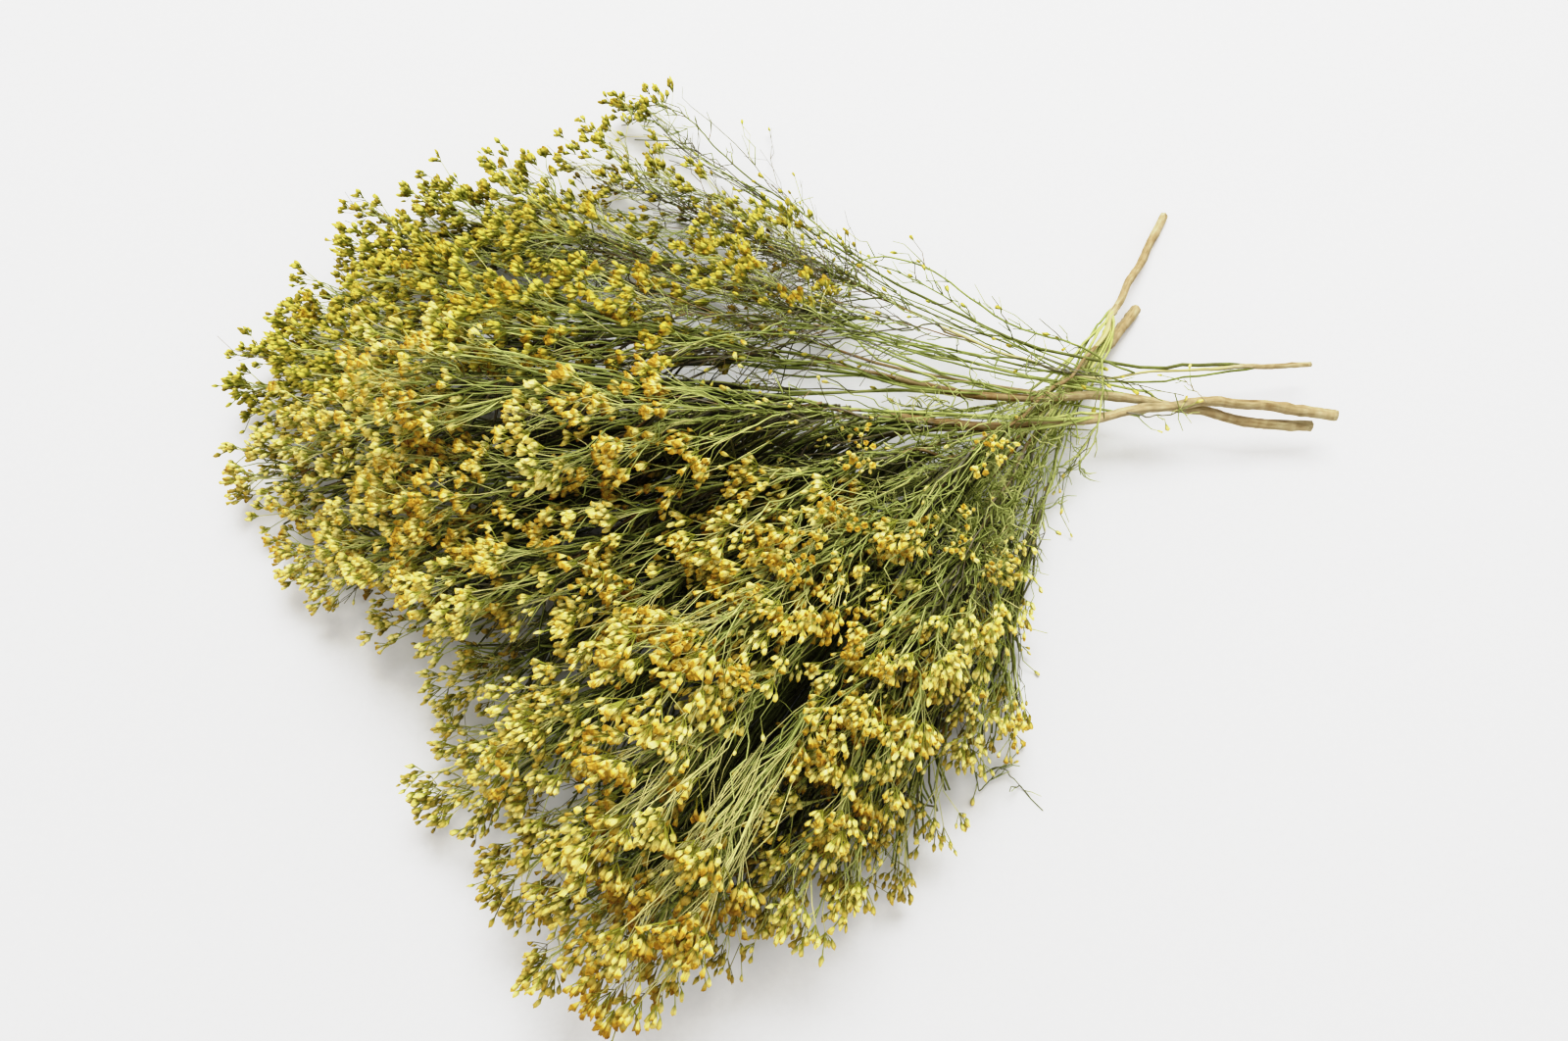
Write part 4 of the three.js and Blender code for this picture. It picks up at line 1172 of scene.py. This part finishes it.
def grow_cross(plant, stem, sprays):
    """Single stems that run from the woody part to any of its sprays, and cross."""
    rng, count, points = plant.rng, plant.cross, 14
    root = on_route(stem["route"], rng.uniform(stem["fork"] - 0.1, 0.97, count))
    lines = [sprays[at].line for at in rng.integers(0, len(sprays), count)]
    reach = rng.uniform(2.6, 5.6, count)
    ends, before = (
        np.array([on_route(line, (at - back) / LINE_END)[0] for line, at in zip(lines, reach)])
        for back in (0, 0.3))
    way = unit(ends - root)
    start = unit(way + unit(np.array(stem["route"][-1]) - stem["route"][-2]) * 0.5)
    paths = curves(root, start, ends, unit(ends - before), points)
    paths = above_floor(wander(paths, rng, rng.uniform(1.0, 4.5, count), 1.6, 0.5), 1.0)
    girth = np.linspace(0.7, 0.36, points) * rng.uniform(0.7, 1.25, (count, 1))
    first = rng.choice([0.26, 0.34, 0.54, 0.68], (count, 1))
    tone = mix(first, 0.66, np.linspace(0, 1, points)) + rng.normal(0, 0.04, (count, 1))
    tone = np.clip(tone + 0.1 * plant.pale, 0.01, 0.99)
    add_tubes(plant.fine, paths, girth, tone, rng, sides=4)
    grow_twigs(plant, paths, count * 2, 6, 22)


def grow_bundle(plant, stem, sprays):
    """Thin stems that part from the woody one early and run beside it to the limbs."""
    rng, points = plant.rng, 24
    t = np.linspace(0, 1, points)
    low = [order for order, spray in enumerate(sprays) if spray.line[1][2] < 33]
    paths = []
    for turn in range(plant.bundle):
        order = rng.choice(low or range(len(sprays)))
        leave = leaving(stem, order)
        part = min(plant.bark_end + 0.02 + rng.uniform(0, 0.1), leave - 0.08)
        beside = on_route(stem["route"], np.linspace(part, leave, 5)[:4])
        onward = on_route(sprays[order].line, np.linspace(0.6, rng.uniform(3.0, 5.4), 7) / LINE_END)
        path = on_route(np.vstack([beside, onward]), t)
        side = unit(np.cross(path[-1] - path[0], [0, 0, 1]))
        aside = (2 * (turn + rng.random()) / plant.bundle - 1) * 11
        swing = np.sin(math.pi * np.clip(t * 1.15, 0, 1)) ** 0.7
        paths.append(path + side * (aside * swing)[:, None]
                     + [0, 0, 1] * (rng.uniform(-4, 1) * swing)[:, None])
    paths = above_floor(wander(np.array(paths), rng, 0.8, 2.0, 0.25), 1.4)
    count = len(paths)
    girth = np.linspace(1.0, 0.45, points) * rng.uniform(0.75, 1.15, (count, 1))
    tone = np.linspace(plant.limb, 0.62, points) + rng.normal(0, 0.05, (count, 1))
    add_tubes(plant.fine, paths, girth, np.clip(tone, 0.01, 0.99), rng, sides=4)
    grow_twigs(plant, paths[:, points // 2:], count, 6, 18)


def grow_strays(plant, number):
    """The single stems that stray from the bunch, with side twigs and a few heads."""
    rng, strays = plant.rng, []
    for _, girth, tone, heads, route in (row for row in STRAYS if row[0] == number):
        points = 4 * len(route)
        path = wander(on_route(route, np.linspace(0, 1, points))[None], rng, 0.5, 3.0, 0.22)
        path = above_floor(path, girth + 0.2)
        tones = np.clip(np.linspace(tone, tone + 0.08, points) + rng.normal(0, 0.03), 0.01, 0.99)
        add_tubes(plant.fine, path, np.linspace(girth, 0.6 * girth, points), tones, rng, sides=4)
        length = np.linalg.norm(np.diff(path[0], axis=0), axis=1).sum()
        grow_twigs(plant, path, round(length / 16), 5, 16)
        strays.append((path, length))
        if heads:
            way = unit(path[:, -1] - path[:, -2] + rng.normal(0, 0.3, (heads, 3)))[:1]
            grow_heads(plant, path[0, -1:], way, way, np.array([11.0]), heads,
                       plant.ripe - 0.05, np.array([True]))
    return strays


def grow_lace(plant, sprays, strays):
    """Hair-thin stems at the airy edges: more of the net, and twigs along the strays."""
    if plant.lace:
        for spray in sprays:
            grow_net(changed(plant, net=plant.lace), spray)
    for path, length in strays:
        grow_twigs(changed(plant, airy=1.0), path, round(length / 14), 5, 20)


def srgb(red, green, blue):
    """A colour given as 0 to 255 in sRGB, as the shader's linear values."""
    values = np.array([red, green, blue]) / 255
    return np.where(values <= 0.04045, values / 12.92, ((values + 0.055) / 1.055) ** 2.4)


class Paint:
    """A material, and short ways to feed its shader."""

    def __init__(self, name):
        self.material = bpy.data.materials.new(name)
        self.material.use_nodes = True
        tree = self.material.node_tree
        self.nodes, self.links = tree.nodes, tree.links
        self.nodes.clear()
        self.shader = self.node("BsdfPrincipled")
        self.feed(self.node("OutputMaterial"), Surface=self.shader.outputs["BSDF"])

    def node(self, kind, **settings):
        node = self.nodes.new("ShaderNode" + kind)
        for name, value in settings.items():
            setattr(node, name, value)
        return node

    def feed(self, node, *values, **named):
        """Sets a node's sockets to values, or links them to the outputs given."""
        pairs = [*zip(node.inputs, values), *((node.inputs[name], named[name]) for name in named)]
        for socket, value in pairs:
            if isinstance(value, bpy.types.NodeSocket):
                self.links.new(value, socket)
            else:
                socket.default_value = value
        return node

    def shade(self, **named):
        """Feeds the shader's sockets for colour, roughness and gloss."""
        names = {"colour": "Base Color", "rough": "Roughness", "gloss": "Specular IOR Level"}
        self.feed(self.shader, **{names[name]: value for name, value in named.items()})

    def maths(self, kind, *values):
        return self.feed(self.node("Math", operation=kind), *values).outputs["Value"]

    def about_half(self, value, amount):
        """How far a value is from a half, times an amount."""
        return self.maths("MULTIPLY", self.maths("SUBTRACT", value, 0.5), amount)

    def mark(self, name):
        """What the mesh holds on its vertices under that name."""
        return self.node("Attribute", attribute_type="GEOMETRY", attribute_name=name).outputs["Fac"]

    def along_skin(self, *stretch):
        """The piece's own map, stretched, for patterns that follow its surface."""
        where = self.node("UVMap", uv_map="Skin").outputs["UV"]
        return self.feed(self.node("Mapping"), Vector=where, Scale=stretch).outputs["Vector"]

    def noise(self, where, detail, roughness, scale=1.0):
        return self.feed(self.node("TexNoise"), Vector=where, Scale=scale, Detail=detail,
                         Roughness=roughness).outputs["Fac"]

    def ramp(self, value, label, *stops):
        node = self.feed(self.node("ValToRGB", label=label), value)
        band = node.color_ramp
        while len(band.elements) > 1:
            band.elements.remove(band.elements[-1])
        for order, (at, colour) in enumerate(stops):
            stop = band.elements[0] if order == 0 else band.elements.new(at)
            stop.position = at
            stop.color = (*colour, 1)
        return node.outputs["Color"]

    def blend(self, kind, share, first, second):
        node = self.node("Mix", data_type="RGBA", blend_type=kind)
        for place, value in zip((0, 6, 7), (share, first, second)):
            if isinstance(value, bpy.types.NodeSocket):
                self.links.new(value, node.inputs[place])
            else:
                node.inputs[place].default_value = value
        return node.outputs[2]

    def bump(self, height, strength, distance):
        node = self.feed(self.node("Bump"), Height=height, Strength=strength, Distance=distance)
        self.feed(self.shader, Normal=node.outputs["Normal"])


# The colours of bark, at the low end, and of green stems by their tone
STEM_TONES = [(0.00, (196, 188, 134)), (0.06, (192, 182, 148)), (0.14, (176, 160, 124)),
              (0.27, (140, 114, 72)), (0.34, (134, 130, 116)), (0.42, (98, 95, 56)),
              (0.52, (118, 124, 64)), (0.66, (156, 166, 96)), (0.82, (198, 202, 132)),
              (1.00, (234, 226, 162))]


def stem_material(name, roughness):
    """Bark and green stems: fibres along the stem, blotches and darker nodes."""
    paint = Paint(name)
    fibre = paint.noise(paint.along_skin(170, 26, 1), 4.0, 0.65)
    blotch = paint.noise(paint.along_skin(18, 60, 1), 3.0, 0.55)
    tone = paint.maths("ADD", paint.mark("tone"), paint.about_half(blotch, 0.30))
    colours = paint.ramp(tone, "from bark to green",
                         *((at, srgb(*colour)) for at, colour in STEM_TONES))
    streaks = paint.ramp(fibre, "fibres", (0.30, (0.42, 0.37, 0.22)), (0.52, (0.92, 0.92, 0.9)),
                         (0.72, (1.0, 1.0, 1.0)))
    rough = paint.maths("ADD", roughness, paint.maths("MULTIPLY", fibre, 0.2))
    paint.shade(colour=paint.blend("MULTIPLY", 0.8, colours, streaks), rough=rough, gloss=0.4)
    paint.bump(fibre, 0.5, 0.0003)
    return paint.material


def bloom_material(name, *colours):
    """Flower heads: green pedicels, pale straw bracts, a crumbly golden crown and painted shade."""
    green, straw, gold, rust = (srgb(*colour) for colour in colours)
    paint = Paint(name)
    maths = paint.maths
    along, ripe, dice = (paint.mark(label) for label in ("along", "ripe", "dice"))
    crumb = paint.noise(paint.along_skin(95, 95, 1), 4.0, 0.7)
    bracts = paint.noise(paint.along_skin(150, 20, 1), 2.0, 0.5)
    riper = maths("ADD", paint.about_half(crumb, 0.5), paint.about_half(ripe, 0.55))
    low = maths("MULTIPLY", maths("LESS_THAN", along, 0.02), 0.3)
    height = maths("SUBTRACT", maths("ADD", along, riper), low)
    colour = paint.ramp(height, "up the head", (0.0, green), (0.26, mix(green, straw, 0.7)),
                        (0.5, straw), (0.74, mix(straw, gold, 0.5)), (0.92, gold),
                        (1.15 / 1.2, mix(gold, rust, 0.6)))
    specks = paint.ramp(crumb, "rust specks", (0.0, (0, 0, 0)), (0.58, (0, 0, 0)),
                        (0.70, (1, 1, 1)))
    high = maths("GREATER_THAN", along, 0.3)
    rusty = maths("MULTIPLY", specks, maths("MULTIPLY", maths("MULTIPLY", ripe, high), 0.6))
    colour = paint.blend("MIX", rusty, colour, (*rust, 1))
    # Painted shade: low marks darken the heads, most those deep in the bloom; the rest is chance
    shade = paint.ramp(dice, "by chance and depth", (0.0, (0.26, 0.18, 0.05)),
                       (0.12, (0.52, 0.43, 0.18)), (0.24, (0.71, 0.67, 0.47)),
                       (0.40, (0.87, 0.85, 0.73)), (0.66, (1.0, 1.0, 1.0)),
                       (0.93, (0.88, 0.88, 0.68)), (1.0, (0.74, 0.67, 0.46)))
    colour = paint.blend("MULTIPLY", 0.9, colour, shade)
    ribs = paint.ramp(bracts, "bract edges", (0.34, (0.60, 0.53, 0.28)), (0.52, (1, 1, 1)))
    rough = maths("ADD", 0.5, maths("MULTIPLY", crumb, 0.35))
    paint.shade(colour=paint.blend("MULTIPLY", 0.6, colour, ribs), rough=rough, gloss=0.35)
    paint.bump(maths("ADD", crumb, maths("MULTIPLY", bracts, 0.6)), 0.7, 0.0006)
    return paint.material


# The materials by slot, those of the heads from pedicel, bract, crown and rust
MATERIALS = {
    "woody_stems": stem_material("bark", 0.62),
    "green_stems": stem_material("green_stem", 0.5),
    "blooms_golden": bloom_material("golden_bloom", (170, 174, 84), (246, 236, 166),
                                    (232, 202, 90), (166, 122, 46)),
    "blooms_olive": bloom_material("olive_bloom", (140, 144, 56), (214, 204, 108),
                                   (208, 180, 66), (144, 106, 36)),
}

# The pieces: three to each stem, in place of its solids
sprays = lay_out()
canopy = [(*cluster.centre[:2], cluster.centre[2] + 0.6 * cluster.size)
          for row in sprays for spray in row for cluster in spray.clusters]
lace_rng = np.random.default_rng(SEED + 1)
for number, (stem, row) in enumerate(zip(STEMS, sprays)):
    plant = SimpleNamespace(
        **{name: values[number] for name, values in HABITS.items()}, canopy=canopy,
        rng=np.random.default_rng(SEED + 10 * number), wood=Skin(), fine=Skin(), bloom=Skin())
    grow_trunk(plant, stem)
    for spray in row:
        plant.airy = HABITS["airy"][number] * np.clip(1.6 - spray.line[-1][2] / 60, 0.25, 1)
        for grow in (grow_limb, grow_spray, grow_back, grow_under, grow_runners, grow_leaves,
                     grow_tangle, grow_net):
            grow(plant, spray)
    grow_cross(plant, stem, row)
    grow_bundle(plant, stem, row)
    grow_lace(changed(plant, rng=lace_rng), row, grow_strays(plant, number))
    names = [spray.name for spray in row]
    for kind, skin, slot, nodes in (
            ("wood", plant.wood, plant.bark_slot, [stem["name"]]),
            ("sidestems", plant.fine, "green_stems", names),
            ("blooms", plant.bloom, plant.bloom_slot, names)):
        piece = skin.piece(f"{kind}_{number + 1}", MATERIALS[slot], kind != "blooms")
        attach(piece, "root")
        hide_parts(*nodes)


# The table, the window's light and the photo's camera
TABLE_HALF = 3.0
WINDOW_PLACE = (0.1, 1.0, 2.1)
WINDOW_SIZE = (1.3, 1.0)
WINDOW_POWER = 56
WINDOW_COLOUR = (0.97, 0.99, 1.0)
ROOM_COLOUR = (1.0, 0.985, 0.965, 1)
ROOM_STRENGTH = 0.92
CAMERA_PLACE = (0.0015, -0.2187, 0.6562)
CAMERA_TILT = 18
SENSOR_WIDTH = 36.0
LENS = SENSOR_WIDTH * 1250 / 1600

# The camera's tone curve: light on the surface, as a share of TONE_WHITE, to brightness
TONE_WHITE = 2.0
TONE_CURVE = [(0.0, 0.0), (0.02, 0.014), (0.05, 0.066), (0.10, 0.175), (0.25, 0.52),
              (0.40, 0.77), (0.60, 0.865), (1.0, 0.95)]


def make_table():
    mesh = bpy.data.meshes.new("table")
    corners = [(x * TABLE_HALF, y * TABLE_HALF, 0) for x, y in ((-1, -1), (1, -1), (1, 1), (-1, 1))]
    mesh.from_pydata(corners, [], [(0, 1, 2, 3)])
    paint = Paint("table_top")
    grain = paint.noise(paint.node("TexCoord").outputs["Object"], 3.0, 0.6, 260.0)
    shade = paint.ramp(grain, "grain", (0.3, (0.70, 0.695, 0.697)), (0.7, (0.725, 0.72, 0.722)))
    paint.shade(colour=shade, rough=0.75)
    mesh.materials.append(paint.material)
    show("table", mesh)


def make_light():
    light = bpy.data.lights.new("window", "AREA")
    light.shape = "RECTANGLE"
    light.size, light.size_y = WINDOW_SIZE
    light.energy = WINDOW_POWER
    light.color = WINDOW_COLOUR
    lamp = show("window", light)
    lamp.location = WINDOW_PLACE
    lamp.rotation_euler = (-Vector(WINDOW_PLACE)).to_track_quat("-Z", "Y").to_euler()
    world = bpy.data.worlds.new("soft_room")
    world.use_nodes = True
    background = world.node_tree.nodes["Background"]
    background.inputs["Color"].default_value = ROOM_COLOUR
    background.inputs["Strength"].default_value = ROOM_STRENGTH
    bpy.context.scene.world = world


def make_camera():
    camera = bpy.data.cameras.new("photo_view")
    camera.sensor_fit = "HORIZONTAL"
    camera.sensor_width = SENSOR_WIDTH
    camera.lens = LENS
    camera.clip_start = 0.02
    camera.clip_end = 20
    holder = show("photo_view", camera)
    holder.location = CAMERA_PLACE
    holder.rotation_euler = (math.radians(CAMERA_TILT), 0, 0)
    bpy.context.scene.camera = holder


def set_tones():
    view = bpy.context.scene.view_settings
    view.view_transform = "Standard"
    view.look = "None"
    view.exposure = 0.0
    view.use_curve_mapping = True
    mapping = view.curve_mapping
    mapping.white_level = (TONE_WHITE,) * 3
    curve = mapping.curves[3]
    curve.points[0].location = TONE_CURVE[0]
    curve.points[-1].location = TONE_CURVE[-1]
    for at, value in TONE_CURVE[1:-1]:
        curve.points.new(at, value)
    mapping.update()


make_table()
make_light()
make_camera()
set_tones()
